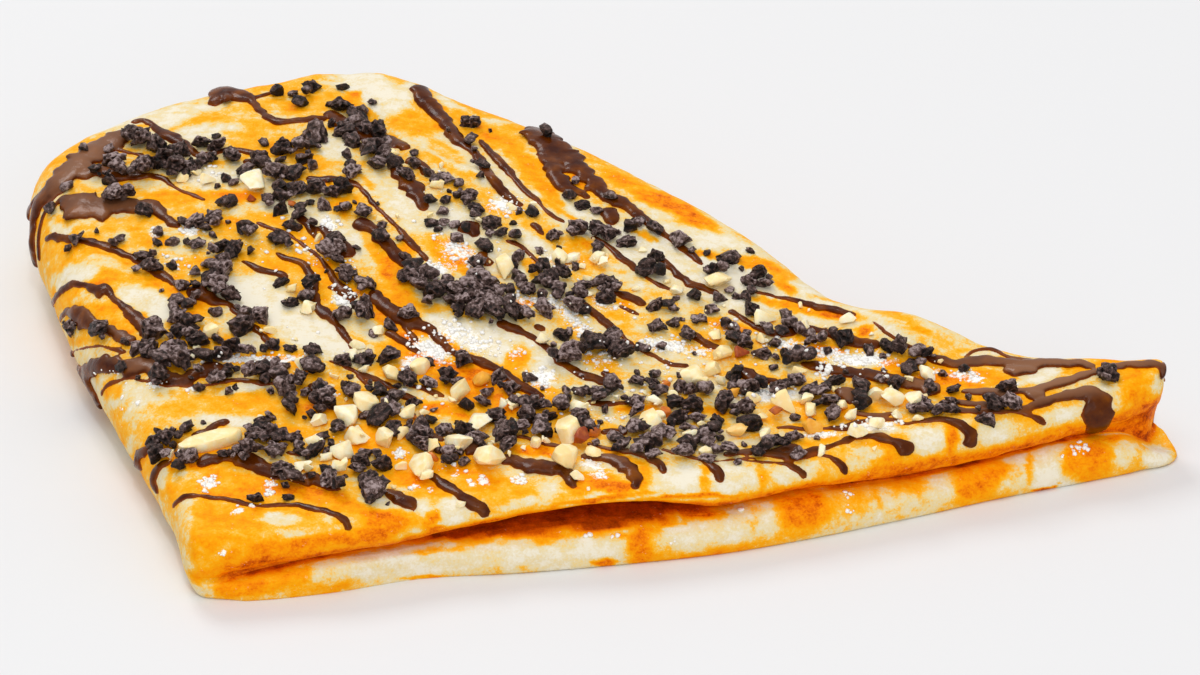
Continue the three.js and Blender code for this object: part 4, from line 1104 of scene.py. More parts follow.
def makeStroke(values, tree, index, stroke):
    line = smoothLine(stroke, values["step"])
    last = len(line) - 1
    hits = [castPixel(tree, u, v) for u, v, width in line]
    places = [sum((hits[min(max(i + k, 0), last)][0] for k in (-1, 0, 1)), Vector()) / 3
              for i in range(last + 1)]
    places[0], places[last] = hits[0][0], hits[last][0]
    length = [0.0]
    for a, b in zip(places, places[1:]):
        length.append(length[-1] + (b - a).length)
    rings = []
    wander, size = values["ragged"]
    rolling, rollSize = values["rolling"]
    for i in range(last + 1):
        place, normal = places[i], hits[i][1]
        along = (places[min(i + 1, last)] - places[max(i - 1, 0)]).normalized()
        side = along.cross(normal).normalized()
        width = values["widen"] * line[i][2] / shownWidth(place, side, normal, along, values["tallness"])
        width = max(values["narrowest"], width)
        toEnd = min(length[i], length[last] - length[i]) / (width * 0.5)
        cap = math.sqrt(max(0.0, 1 - max(0.0, 1 - toEnd) ** 2))
        left, right = (1 + wander * noise.noise((index * 3.7 + k * 40, length[i] / size, 0)) * 2
                       for k in (0, 1))
        tall = min(width * values["tallness"], values["tallest"])
        tall *= 1 + rolling * noise.noise((index * 2.1, length[i] / rollSize, 9))
        rings.append((place, normal, side, width / 2 * cap, left, right, tall * cap))

    def placeVertex(turn, fall):
        place, normal, side, half, left, right, tall = rings[min(last, round(fall * last))]
        angle = turn * 2 * math.pi
        across, up = math.cos(angle), math.sin(angle)
        up = math.copysign(abs(up) ** values["flatTop"], up)
        reach = half * (left if across > 0 else right) * across
        return (place + side * reach + normal * (up * tall if up > 0 else up * values["sunk"])) * mm

    return wrapGrid("stroke", values["sides"], last, placeVertex)


def makeDrizzle(values, tree):
    strokes = [makeStroke(values, tree, i, stroke) for i, stroke in enumerate(values["strokes"])]
    drizzle = joinPieces("chocolateDrizzle", strokes)
    applyModifier(drizzle, "flowTogether", "REMESH", mode="VOXEL", voxel_size=values["voxel"] * mm)
    applyModifier(drizzle, "settle", "SMOOTH", factor=0.5, iterations=values["smoothing"])
    share = values["triangles"] / (2 * len(drizzle.data.polygons))
    if share < 1:
        applyModifier(drizzle, "lighten", "DECIMATE", ratio=share)
    return drizzle


# Couverture chocolate, still soft: dark red-brown, lighter where it is thin, a clear soft gloss.
chocolateValues = {
    "stops": [(0.3, "#3c1200"), (0.52, "#582600"), (0.72, "#7a3e00")],
    "thinColor": "#964200",  # where the batter shines through the thin borders
    "thinUnder": 0.3,  # mm
    # the colour of the painted sheen, a painted reflection
    "paintedSheenColor": "#8e6246",
    # where the painted sheen lies, a pale brown painted reflection of the light from behind on the top of the
    # strokes, by pixel: u, v, half length, half width, turn, strength
    "paintedSheen": [
        (1030, 378, 150, 26, 6, 1.0), (620, 448, 140, 12, 0, 0.8), (850, 402, 110, 22, 4, 0.7),
        (470, 440, 60, 8, 0, 0.5), (80, 165, 75, 18, 40, 0.75), (100, 206, 60, 18, 0, 0.5),
        (100, 325, 50, 14, -25, 0.4), (135, 366, 60, 12, 0, 0.55),
    ],
    "paintedSheenBorder": 1.5,
    "paintedSheenSlope": (3.0, 1.9),  # the painted sheen covers what faces up more: that share of the normal less the second number
    "roughness": 0.22,
    "rippleSize": 3.0,
    "bump": (0.35, 0.6),
}


def paintChocolate(piece, tree, values):
    points, normals = vertexArray(piece), normalArray(piece)
    gaps = np.array([tree.find_nearest(Vector(point) * mm)[3] for point in points]) / mm
    writeAttribute(piece, "thin", np.clip(1.0 - gaps / values["thinUnder"], 0, 1))
    u, v = pixelArray(points)
    paintedSheen = np.zeros(len(points))
    for spot in values["paintedSheen"]:
        paintedSheen = np.maximum(paintedSheen, spot[5] * patchShare(u, v, spot, values["paintedSheenBorder"]))
    slope, less = values["paintedSheenSlope"]
    # painted sheen: a painted reflection, laid by pixel and stronger on what faces up
    writeAttribute(piece, "paintedSheen", paintedSheen * np.clip(normals[:, 2] * slope - less, 0, 1))


def makeChocolate(values):
    material, tree, shader = newMaterial("melted dark chocolate", {
        "Roughness": values["roughness"], "IOR": 1.46, "Specular IOR Level": 0.16})
    coords = addNode(tree, "TexCoord", out="Object")
    ripple = addNode(tree, "TexNoise", {"Vector": coords, "Scale": 1 / (values["rippleSize"] * mm),
                                        "Detail": 3.0})
    color = addNode(tree, "ValToRGB", {"Fac": ripple}, stops=values["stops"])
    # the thin borders take the batter's colour, and the painted sheen is mixed in as a painted reflection
    for name, other in (("thin", values["thinColor"]), ("paintedSheen", values["paintedSheenColor"])):
        share = addNode(tree, "Attribute", out="Fac", attribute_name=name)
        color = addNode(tree, "MixRGB", {"Fac": share, "Color1": color, "Color2": linearColor(other)})
    linkFinish(tree, shader, color, ripple, *values["bump"])
    return material


bodyTree = treeOf([body])
drizzle = makeDrizzle(drizzleValues, bodyTree)
paintChocolate(drizzle, bodyTree, chocolateValues)
finishPiece(drizzle, makeChocolate(chocolateValues))


# Loose toppings lie with their middle at a pixel: u, v, how long they show there, turn of that length.
layValues = {
    "ceiling": 25.4,  # mm, nothing rises much further than this
    "attempts": 3,  # rounds that bring a lump's middle to its pixel
    "stretch": (0.85, 1.3),  # least and most length of a lump over the length that it shows
    "stacking": 0.4,  # most overlap with another lump that still lifts it
    "tooClose": 0.36,  # share of the smaller one's size
    "flattest": 0.05,  # a direction that shows less than this share of the other is left out
    "strayDown": 0.7,  # spread of the small ones down the picture, over the spread across it
}


def layLump(tree, laid, lump, draw, values):
    # a matrix that takes a lump of half sizes 1 to its place and size, or nothing where one lies already
    u, v, shown, turn = lump[:4]
    wide, tall = draw.uniform(*values["wide"]), draw.uniform(*values["tall"])
    lean = [draw.gauss(0, values["lean"]) for k in range(2)]
    turn = math.radians(turn)
    aim = np.array((u, v), float)
    least, most = layValues["stretch"]
    for attempt in range(layValues["attempts"]):
        place, normal = castPixel(tree, *aim)
        first = normal.orthogonal().normalized()
        second = normal.cross(first)
        middle = np.array(pixelOf(place))
        steps = np.array([np.array(pixelOf(place + way)) - middle for way in (first, second)]).T
        way = np.linalg.lstsq(steps, (math.cos(turn), -math.sin(turn)), rcond=layValues["flattest"])[0]
        size = shown * min(max(np.hypot(*way), least / pixelScale(place)), most / pixelScale(place))
        lift = size * tall * values["lift"]
        for other, otherSize, otherTall in laid:
            gap = 1 - (other - place).length / (0.5 * (size + otherSize))
            lift = max(lift, size * tall * values["lift"] + min(gap, layValues["stacking"]) * otherTall)
        centre = place + normal * lift
        centre.z -= max(0, centre.z + size * tall / 2 - layValues["ceiling"])
        aim = aim + np.array((u, v)) - pixelOf(centre)
    near = layValues["tooClose"]
    if any((other - place).length < near * min(size, otherSize) for other, otherSize, otherTall in laid):
        return None
    laid.append((place, size, size * tall))
    along = (first * way[0] + second * way[1]).normalized()
    up = (normal + along * lean[0] + along.cross(normal) * lean[1]).normalized()
    side = up.cross(along).normalized()
    along = side.cross(up)
    turned = Matrix((along, side, up)).transposed().to_4x4()
    halves = Matrix.Diagonal((size / 2, size / 2 * wide, size / 2 * tall, 1))
    return Matrix.Translation(centre * mm) @ turned @ halves


def scatterSmall(values, draw, tree):
    # small lumps strewn round the placed ones, without those that the camera wouldn't see on the crepe
    lumps = []
    for k in range(values["smallOnes"]):
        u, v = draw.choice(values["lumps"])[:2]
        u += draw.gauss(0, 1) * values["smallStray"]
        v += draw.gauss(0, layValues["strayDown"]) * values["smallStray"]
        lump = (u, v, draw.uniform(*values["smallSizes"]), draw.uniform(-90, 90))
        if tree.ray_cast(viewEye * mm, rayThrough(u, v))[0] is not None:
            lumps.append(lump)
    return lumps


def joinCopies(name, variants, copies):
    # one mesh that holds a copy of a variant at each matrix, with a random shade and a given tint for each
    points, faces = [], []
    marks = {"shade": [], "tint": [], "crackAndShade": []}
    arrays = []
    for variant in variants:
        corners = np.array([v.co[:] for v in variant.data.vertices])
        cracked = "crackAndShade" in variant.data.attributes
        arrays.append((corners, [tuple(p.vertices) for p in variant.data.polygons],
                       readAttribute(variant, "crackAndShade").tolist() if cracked else [0.0] * len(corners)))
    draw = random.Random(len(copies))
    for matrix, which, tint in copies:
        corners, polygons, deep = arrays[which]
        first = len(points)
        points += (corners @ np.array(matrix.to_3x3()).T + np.array(matrix.translation)).tolist()
        faces += [tuple(first + i for i in p) for p in polygons]
        marks["shade"] += [draw.random()] * len(corners)
        marks["tint"] += [tint] * len(corners)
        marks["crackAndShade"] += deep
    mesh = bpy.data.meshes.new(name)
    mesh.from_pydata(points, [], faces)
    piece = bpy.data.objects.new(name, mesh)
    bpy.context.scene.collection.objects.link(piece)
    for mark, numbers in marks.items():
        writeAttribute(piece, mark, numbers)
    for variant in variants:
        bpy.data.objects.remove(variant)
    return piece


def addSphere(fineness):
    deselectAll()
    bpy.ops.mesh.primitive_ico_sphere_add(subdivisions=fineness, radius=mm)
    return bpy.context.object


def fitToUnit(piece):
    # half sizes 1 along each axis, so that a matrix gives the true ones, in metres after the scale
    corners = np.array([v.co[:] for v in piece.data.vertices])
    low, high = corners.min(0), corners.max(0)
    piece.data.vertices.foreach_set("co", ((corners - (low + high) / 2) / ((high - low) / 2) * mm).ravel())


def anyPlane(draw, depths):
    # a plane in any direction: the way out of it and how far off the middle it lies
    return Vector(draw.gauss(0, 1) for axis in range(3)).normalized(), draw.uniform(*depths)


# Crumbs of a chocolate sandwich biscuit.
crumbValues = {
    "lumps": [
        # left end
        (67, 186, 15, 20), (50, 209, 14, 30), (95, 167, 14, 80), (112, 160, 24, 10), (122, 158, 10, 0),
        (139, 137, 22, 0), (155, 143, 18, 60), (138, 165, 16, 0), (158, 162, 28, 25), (176, 150, 14, 20),
        (172, 167, 14, 30), (190, 166, 22, -5), (202, 142, 15, 20), (217, 143, 14, 10), (210, 157, 16, 10),
        (231, 154, 17, 0), (124, 171, 10, 60), (110, 180, 14, -20), (112, 192, 22, 20), (127, 196, 16, -25),
        (144, 212, 18, 0), (183, 222, 14, 0), (195, 220, 20, -10), (214, 216, 28, 40), (222, 200, 13, 90),
        (205, 229, 16, 0), (120, 239, 14, 30), (74, 240, 13, -10), (157, 243, 12, 0), (172, 241, 16, 15),
        (197, 243, 16, -20), (143, 256, 22, 5), (150, 265, 24, 0), (222, 246, 18, 30), (232, 250, 18, 70),
        (205, 265, 10, 0), (222, 262, 20, 15), (227, 178, 12, 0), (234, 183, 12, 0), (180, 285, 18, -15),
        (195, 284, 12, 60), (207, 280, 18, 60), (211, 288, 20, 80), (189, 301, 26, -5), (174, 308, 12, -70),
        (178, 317, 18, -30), (189, 322, 14, -30), (152, 328, 24, -70), (159, 327, 24, -60),
        (178, 332, 30, 0), (197, 340, 22, 15), (178, 345, 20, 0), (135, 348, 16, 60), (149, 347, 20, 10),
        (150, 354, 20, 0), (168, 354, 24, 15), (180, 352, 26, 15), (198, 354, 14, 0), (211, 355, 16, 0),
        (221, 353, 22, 0), (68, 329, 18, 20), (99, 328, 22, 10), (157, 364, 20, -30), (158, 373, 20, -50),
        (183, 367, 24, -15), (156, 382, 12, 0), (199, 387, 14, 0), (153, 441, 20, 20), (165, 438, 20, 15),
        (173, 432, 8, 60), (187, 428, 16, 35), (160, 457, 20, 60), (188, 456, 22, 15), (178, 466, 14, 0),
        (224, 454, 26, 10), (271, 428, 26, -20), (258, 433, 20, 0), (248, 445, 22, -20), (257, 449, 16, -10),
        (279, 448, 28, 0), (294, 438, 20, 10), (287, 431, 16, -20), (297, 447, 14, -30), (312, 450, 20, 0),
        (322, 437, 16, 30), (338, 425, 16, 90), (281, 470, 24, 10), (296, 468, 22, -10), (326, 470, 18, -30),
        (328, 480, 20, 60), (339, 483, 16, 20), (255, 498, 18, 10), (288, 497, 14, 20),
        # the far corner
        (278, 91, 14, 25), (293, 94, 11, 20), (311, 88, 20, -5), (300, 101, 15, 30), (343, 87, 14, 10),
        (338, 110, 22, -60), (345, 130, 30, -25), (357, 138, 22, -30), (358, 118, 18, -50),
        (362, 110, 14, 20), (376, 130, 22, -50), (372, 145, 24, 60), (378, 162, 26, -30),
        (405, 172, 20, -45), (316, 132, 24, 50), (312, 145, 16, 80), (300, 143, 14, 30), (282, 147, 22, 25),
        (258, 160, 34, 35), (246, 172, 14, 50), (281, 161, 14, 10), (305, 158, 16, 60), (312, 165, 12, 70),
        (293, 172, 20, 50), (290, 188, 26, 20), (277, 190, 14, 40), (268, 198, 12, 50), (279, 209, 17, 30),
        (299, 214, 27, 30), (315, 186, 22, 5), (333, 190, 20, 0), (341, 186, 22, -15), (326, 195, 14, 0),
        (325, 205, 16, 0), (345, 206, 15, 0), (363, 211, 20, -20), (352, 171, 20, 40), (246, 227, 16, 50),
        (250, 233, 14, 50), (277, 238, 20, 70), (333, 240, 20, -40), (325, 250, 22, -40),
        (380, 235, 16, -50), (405, 255, 14, -30), (349, 121, 16, 20), (366, 124, 14, -30),
        (332, 123, 12, 60), (386, 150, 14, -40), (393, 160, 16, -30),
        # between the left end and the middle
        (228, 248, 24, 60), (237, 246, 14, 80), (223, 265, 28, 20), (209, 278, 18, 60), (214, 290, 18, 80),
        (232, 296, 22, -30), (281, 282, 18, 10), (291, 302, 20, 10), (306, 295, 16, -10), (311, 282, 20, 30),
        (245, 311, 16, 40), (260, 315, 20, -10), (241, 326, 22, 40), (334, 252, 28, -40),
        (347, 270, 26, -50), (366, 282, 24, -30), (366, 307, 34, 75), (339, 314, 18, 10), (391, 325, 16, 0),
        (407, 312, 18, 20), (232, 343, 20, -40), (219, 350, 22, -20), (244, 354, 18, 10), (273, 345, 18, 20),
        (290, 349, 16, 0), (313, 349, 22, 0), (316, 365, 26, 40), (342, 359, 20, -5), (364, 358, 24, 10),
        (389, 356, 20, 60), (281, 366, 26, 50), (263, 368, 20, 40), (249, 371, 20, 30), (228, 373, 26, 35),
        (213, 380, 14, 20), (292, 379, 30, 5), (288, 391, 26, -10), (320, 386, 26, -10), (347, 387, 30, -25),
        (328, 401, 32, -5), (290, 407, 18, -40), (271, 430, 28, -30), (295, 435, 20, 10), (252, 436, 16, 0),
        (380, 390, 26, -25), (394, 395, 20, -25), (414, 401, 18, 0), (410, 378, 18, -10), (366, 415, 16, 0),
        (378, 415, 24, 35), (393, 408, 14, 90), (393, 428, 18, 60), (412, 430, 20, 0), (341, 428, 12, 0),
        (325, 433, 20, 10), (205, 355, 14, -20), (202, 338, 14, 50), (404, 252, 14, -30), (412, 264, 26, 60),
        (417, 281, 16, 0),
        # the middle
        (471, 121, 20, -20), (463, 120, 8, 0), (471, 139, 15, 40), (483, 163, 16, -10), (445, 178, 20, -25),
        (428, 173, 14, -30), (414, 163, 12, -30), (404, 172, 14, -45), (431, 199, 14, 60),
        (445, 199, 12, 40), (458, 195, 12, 10), (469, 194, 18, 0), (467, 202, 12, 30), (477, 209, 18, -20),
        (443, 211, 14, 0), (431, 222, 15, 10), (444, 222, 12, 0), (455, 225, 12, 20), (438, 229, 10, 0),
        (457, 238, 14, -20), (492, 223, 22, -5), (485, 246, 16, -30), (490, 233, 10, 0), (502, 233, 14, 20),
        (516, 236, 16, 30), (532, 212, 14, -50), (518, 255, 14, 50), (554, 234, 18, 10), (577, 228, 20, 15),
        (598, 228, 20, -10), (608, 232, 18, -40), (598, 245, 14, 0), (570, 195, 16, 15), (597, 211, 14, 10),
        (611, 195, 14, -30), (546, 131, 14, -40), (583, 205, 18, 0), (543, 262, 10, -60), (562, 267, 12, 0),
        (410, 265, 20, 0), (413, 273, 18, 80), (430, 272, 28, -10), (421, 285, 22, -20), (434, 294, 24, 10),
        (448, 280, 14, -20), (456, 288, 22, -10), (450, 301, 26, 5), (428, 304, 14, 0), (476, 274, 20, 30),
        (485, 283, 34, -40), (471, 294, 14, -40), (479, 297, 22, -50), (497, 291, 14, 90),
        (476, 309, 20, 70), (490, 304, 18, 90), (496, 318, 20, -20), (517, 311, 34, -5), (516, 256, 14, 50),
        (519, 276, 16, 10), (521, 283, 14, 20), (525, 288, 22, -15), (511, 289, 12, 60), (544, 263, 14, -65),
        (548, 278, 20, 60), (538, 281, 16, 0), (542, 295, 14, 75), (562, 272, 22, 0), (559, 288, 26, 80),
        (579, 292, 20, -30), (575, 305, 22, -30), (585, 309, 14, 0), (583, 285, 18, -10), (600, 281, 22, 20),
        (611, 281, 14, -20), (606, 298, 22, -10), (562, 333, 20, -20), (588, 338, 36, -40),
        (569, 349, 24, 20), (554, 354, 16, 0), (611, 337, 20, 40), (617, 349, 20, 60), (578, 392, 14, 0),
        (597, 391, 28, 0), (612, 381, 14, -30), (564, 402, 18, 30), (462, 359, 18, -40), (497, 376, 18, 50),
        (510, 388, 22, -15), (487, 391, 14, 60), (482, 402, 20, -10), (466, 405, 16, -20),
        (527, 399, 26, -10), (537, 404, 20, 20), (528, 416, 22, 60), (504, 429, 34, 90), (520, 425, 20, 0),
        (542, 426, 26, -10), (549, 415, 18, 0), (447, 375, 22, -10), (408, 377, 18, -20),
        (428, 382, 20, -20), (459, 384, 18, 0), (417, 428, 28, -15), (445, 430, 20, 10), (418, 439, 22, 0),
        (465, 429, 24, -30), (479, 440, 20, -20), (580, 415, 18, 20), (589, 425, 14, -40), (614, 437, 16, 0),
        (443, 285, 16, 0), (463, 299, 18, 5), (467, 281, 16, 40), (488, 295, 16, 60), (501, 302, 14, 80),
        # the front, left of the middle
        (328, 433, 20, 10), (340, 431, 12, 0), (379, 416, 24, 35), (424, 431, 20, -20), (445, 427, 24, -5),
        (413, 438, 18, 0), (421, 442, 18, -10), (463, 430, 20, -40), (473, 438, 18, -40),
        (480, 440, 18, -20), (366, 453, 26, 5), (360, 459, 20, 0), (383, 463, 24, 10), (357, 471, 20, 0),
        (368, 480, 22, 20), (373, 493, 24, 80), (381, 485, 16, 60), (344, 481, 24, 10), (325, 482, 14, 0),
        (451, 457, 26, 0), (447, 449, 14, -30), (431, 420, 14, 0),
        # the far slope, right of the middle
        (638, 220, 26, 10), (655, 228, 18, -25), (676, 239, 22, -30), (627, 241, 20, -15),
        (645, 268, 18, 20), (658, 270, 14, 60), (656, 256, 18, 0), (713, 268, 30, 20), (722, 265, 12, -40),
        (758, 272, 18, 10), (750, 281, 18, 10), (764, 287, 20, -10), (695, 295, 16, 0), (720, 297, 16, 10),
        (730, 290, 10, 50), (738, 296, 14, 0), (747, 296, 12, -20), (712, 309, 14, 20), (700, 318, 18, -20),
        (750, 308, 20, -35), (605, 283, 18, 0), (616, 286, 14, 10), (605, 297, 20, 0), (655, 304, 20, 0),
        (667, 303, 12, -60), (672, 322, 16, 0), (658, 325, 18, 10), (688, 334, 20, -35), (738, 338, 28, 20),
        (746, 334, 12, 0), (614, 337, 16, 50), (608, 345, 14, 0), (625, 350, 20, 0), (645, 348, 14, 0),
        (775, 343, 14, 0), (790, 322, 16, 75), (762, 354, 22, 10), (775, 357, 10, -20), (800, 353, 26, 20),
        (735, 375, 18, 50), (738, 368, 14, 10), (750, 386, 20, -10), (777, 385, 16, 0), (795, 380, 22, 5),
        (813, 388, 12, 40), (637, 381, 18, 10), (652, 382, 18, -20), (655, 390, 14, 0), (690, 388, 20, 0),
        (707, 388, 14, 30), (680, 385, 14, 0), (725, 396, 16, 0), (808, 333, 16, 0), (813, 340, 14, 0),
        (782, 331, 26, -5), (798, 358, 24, 10), (811, 353, 16, 20), (822, 338, 14, 40), (841, 338, 24, -5),
        (870, 350, 14, -60), (887, 345, 30, -40), (917, 350, 30, 10), (909, 369, 16, 30), (921, 362, 12, 0),
        # the front, right of the middle
        (580, 393, 14, 0), (597, 391, 28, 60), (615, 383, 20, -20), (563, 402, 16, 40), (546, 403, 14, 0),
        (662, 390, 14, 0), (703, 388, 16, 30), (676, 402, 20, 10), (692, 404, 24, -10), (636, 402, 24, 5),
        (637, 412, 18, 60), (724, 402, 22, 70), (745, 406, 22, 10), (750, 422, 20, -40), (735, 414, 12, 0),
        (678, 417, 24, 15), (697, 417, 20, -5), (717, 420, 14, -20), (636, 426, 24, 10), (662, 431, 26, 60),
        (675, 430, 24, 30), (686, 429, 14, 0), (707, 430, 28, -10), (695, 441, 26, 10), (708, 441, 16, 0),
        (640, 444, 26, 30), (655, 449, 18, 0), (614, 431, 20, -5), (617, 441, 26, -5), (683, 453, 24, 5),
        (718, 449, 14, 30), (730, 447, 20, -10), (707, 457, 20, 0), (756, 453, 12, 0), (588, 421, 18, -40),
        (545, 430, 18, -10), (541, 418, 14, 0), (755, 382, 18, 0), (835, 380, 22, -5), (862, 384, 28, -5),
        (896, 383, 22, -10), (807, 390, 18, 10), (820, 390, 22, 10), (829, 401, 24, 0), (832, 414, 20, 60),
        (817, 403, 14, 0), (859, 394, 16, 0), (862, 403, 26, 60), (779, 387, 18, 30), (754, 385, 26, -5),
        (776, 440, 24, 15), (794, 436, 20, 0), (783, 446, 18, 0), (764, 447, 16, 30), (799, 449, 18, 10),
        (758, 456, 16, 0), (921, 405, 24, 45), (938, 409, 26, 5), (953, 390, 20, 0), (952, 401, 18, 0),
        (953, 409, 14, 0), (795, 418, 12, 0), (948, 401, 16, 0), (1010, 394, 20, 10), (994, 402, 22, 25),
        (1012, 405, 24, -10), (985, 410, 22, 10), (1108, 371, 24, 30), (965, 368, 10, 60),
        # the heaps at the far left
        (103, 161, 22, 20), (117, 167, 19, -30), (142, 136, 22, -20), (129, 133, 17, 40),
        (156, 145, 21, -35), (142, 165, 22, 10), (165, 156, 21, 20), (179, 149, 19, 15), (176, 164, 19, 30),
        (192, 165, 15, -10), (115, 190, 21, 30), (201, 142, 17, 0), (217, 142, 17, -20), (231, 154, 18, -25),
        (210, 157, 17, 10), (292, 183, 22, 20), (276, 170, 21, 50), (292, 167, 20, 30), (281, 147, 21, 20),
        (301, 208, 20, 25), (278, 204, 21, -40), (267, 199, 17, 20), (217, 209, 21, 25), (201, 217, 19, -30),
        (249, 229, 20, 30),
    ],
    "smallOnes": 420,
    "smallSizes": (5, 12),
    "smallStray": 13,  # pixels from a larger one
    "breakFrom": 25,  # pixels from which a lump is laid as several crumbs
    "breakInto": 4,
    "mainPiece": 0.62,  # size of the crumb in the middle of such a lump, over the lump's
    "sidePieces": (0.42, 0.66),
    "sideStray": (0.3, 0.16),  # how far along and across the lump the others stray
    "sideTurn": 35,
    "bigFrom": 17,  # pixels from which a crumb is worth the finer shapes
    "wide": (0.58, 0.98),
    "tall": (0.44, 0.8),
    "lean": 0.2,
    "lift": 0.34,
    "shapes": 24,
    "planes": 7,  # broken faces of a shape
    "planeDepths": (0.45, 0.8),
    "planeFlatness": 0.9,
    "swelling": (0.5, 1.2),  # height and fineness of the lumps of a shape
    "roughness": (0.22, 4.5),  # and of its grains
    "cracks": (0.3, 1.9, 0.13),  # depth, fineness and width of the cracks between them
    "seed": 11,
}


def makeCrumbShapes(values):
    # broken biscuit: lumpy grains with broken faces, the first half of the shapes finer than the rest
    swelling, swellFine = values["swelling"]
    roughness, roughFine = values["roughness"]
    crackDepth, crackFine, crackWide = values["cracks"]
    shapes = []
    for k in range(values["shapes"]):
        draw = random.Random(k)
        piece = addSphere(3 if k < values["shapes"] / 2 else 2)
        planes = [anyPlane(draw, values["planeDepths"]) for cut in range(values["planes"])]
        deep = []
        for vertex in piece.data.vertices:
            n = vertex.co.normalized()
            place = n * (1 + swelling * noise.noise(n * swellFine + Vector((k * 5.1, 0, 0))))
            for away, depth in planes:
                place -= away * max(0, place.dot(away) - depth) * values["planeFlatness"]
            # cracks run where this noise is near 0, between the grains
            crackAndShade = max(0, 1 - abs(noise.noise(n * crackFine + Vector((0, k * 3.3, 0)))) / crackWide)
            rough = roughness * noise.noise(n * roughFine + Vector((0, 0, k * 1.7)))
            vertex.co = place * (1 + rough - crackDepth * crackAndShade) * mm
            # the cracks and the dips of the grains are marked, and the material paints them darker as painted
            # shade
            deep.append(min(1, crackAndShade + max(0, -rough * 3)))
        fitToUnit(piece)
        writeAttribute(piece, "crackAndShade", deep)
        shapes.append(piece)
    return shapes


def breakUp(lump, values, draw):
    # a wide lump as several crumbs along its length
    u, v, size, turn = lump[:4]
    if size < values["breakFrom"]:
        return [lump]
    crumbs = [(u, v, size * values["mainPiece"], turn)]
    for k in range(values["breakInto"]):
        along, across = (draw.gauss(0, stray) * size for stray in values["sideStray"])
        crumbs.append((*turnedPixel(u, v, turn, along, across), size * draw.uniform(*values["sidePieces"]),
                       turn + draw.gauss(0, values["sideTurn"])))
    return crumbs


def layCrumbs(values, tree):
    draw = random.Random(values["seed"])
    laid, copies = [], []
    half = values["shapes"] // 2
    lumps = [crumb for lump in values["lumps"] for crumb in breakUp(lump, values, draw)]
    for lump in lumps + scatterSmall(values, draw, tree):
        which = draw.randrange(half) + (0 if lump[2] >= values["bigFrom"] else half)
        matrix = layLump(tree, laid, lump, draw, values)
        if matrix:
            copies.append((matrix, which, 0.0))
    return copies


# Cocoa biscuit crumb: baked, dry and porous, with painted shade making its cracks and hollows nearly black
# and painted light making its upper faces paler.
crumbFinish = {
    "stops": [(0.3, "#0a0200"), (0.43, "#2a150d"), (0.57, "#664e48"), (0.7, "#b6a09e")],
    "roughness": 0.42,
    "poreSize": 0.7,
    "shades": (0.2, -0.12),  # how much the crumbs differ from each other, and what is added to all
    "paintedTopLight": 0.13,  # how much paler the upper faces are painted: painted light from above
    "crackDepth": 0.26,  # how much darker the cracks and hollows are painted: painted shade
    "bump": (1.0, 0.5),
}


def makeCrumbMaterial(values):
    material, tree, shader = newMaterial("cocoa biscuit crumb", {
        "Roughness": values["roughness"], "Specular IOR Level": 0.3})
    coords = addNode(tree, "TexCoord", out="Object")
    pores = addNode(tree, "TexNoise", {"Vector": coords, "Scale": 1 / (values["poreSize"] * mm),
                                       "Detail": 5.0, "Roughness": 0.75})
    shade, upperFaceLight, crackAndShade = (addNode(tree, "Attribute", out="Fac", attribute_name=name)
                         for name in ("shade", "upperFaceLight", "crackAndShade"))
    much, more = values["shades"]
    shade = addNode(tree, "Math", {0: shade, 1: much, 2: more}, operation="MULTIPLY_ADD")
    mixed = addNode(tree, "Math", {0: shade, 1: pores}, operation="ADD")
    # painted light makes the upper faces paler and painted shade makes the cracks and hollows darker
    for part, much in ((upperFaceLight, values["paintedTopLight"]), (crackAndShade, -values["crackDepth"])):
        mixed = addNode(tree, "Math", {0: part, 1: much, 2: mixed}, operation="MULTIPLY_ADD")
    color = addNode(tree, "ValToRGB", {"Fac": mixed}, stops=values["stops"])
    linkFinish(tree, shader, color, pores, *values["bump"])
    return material


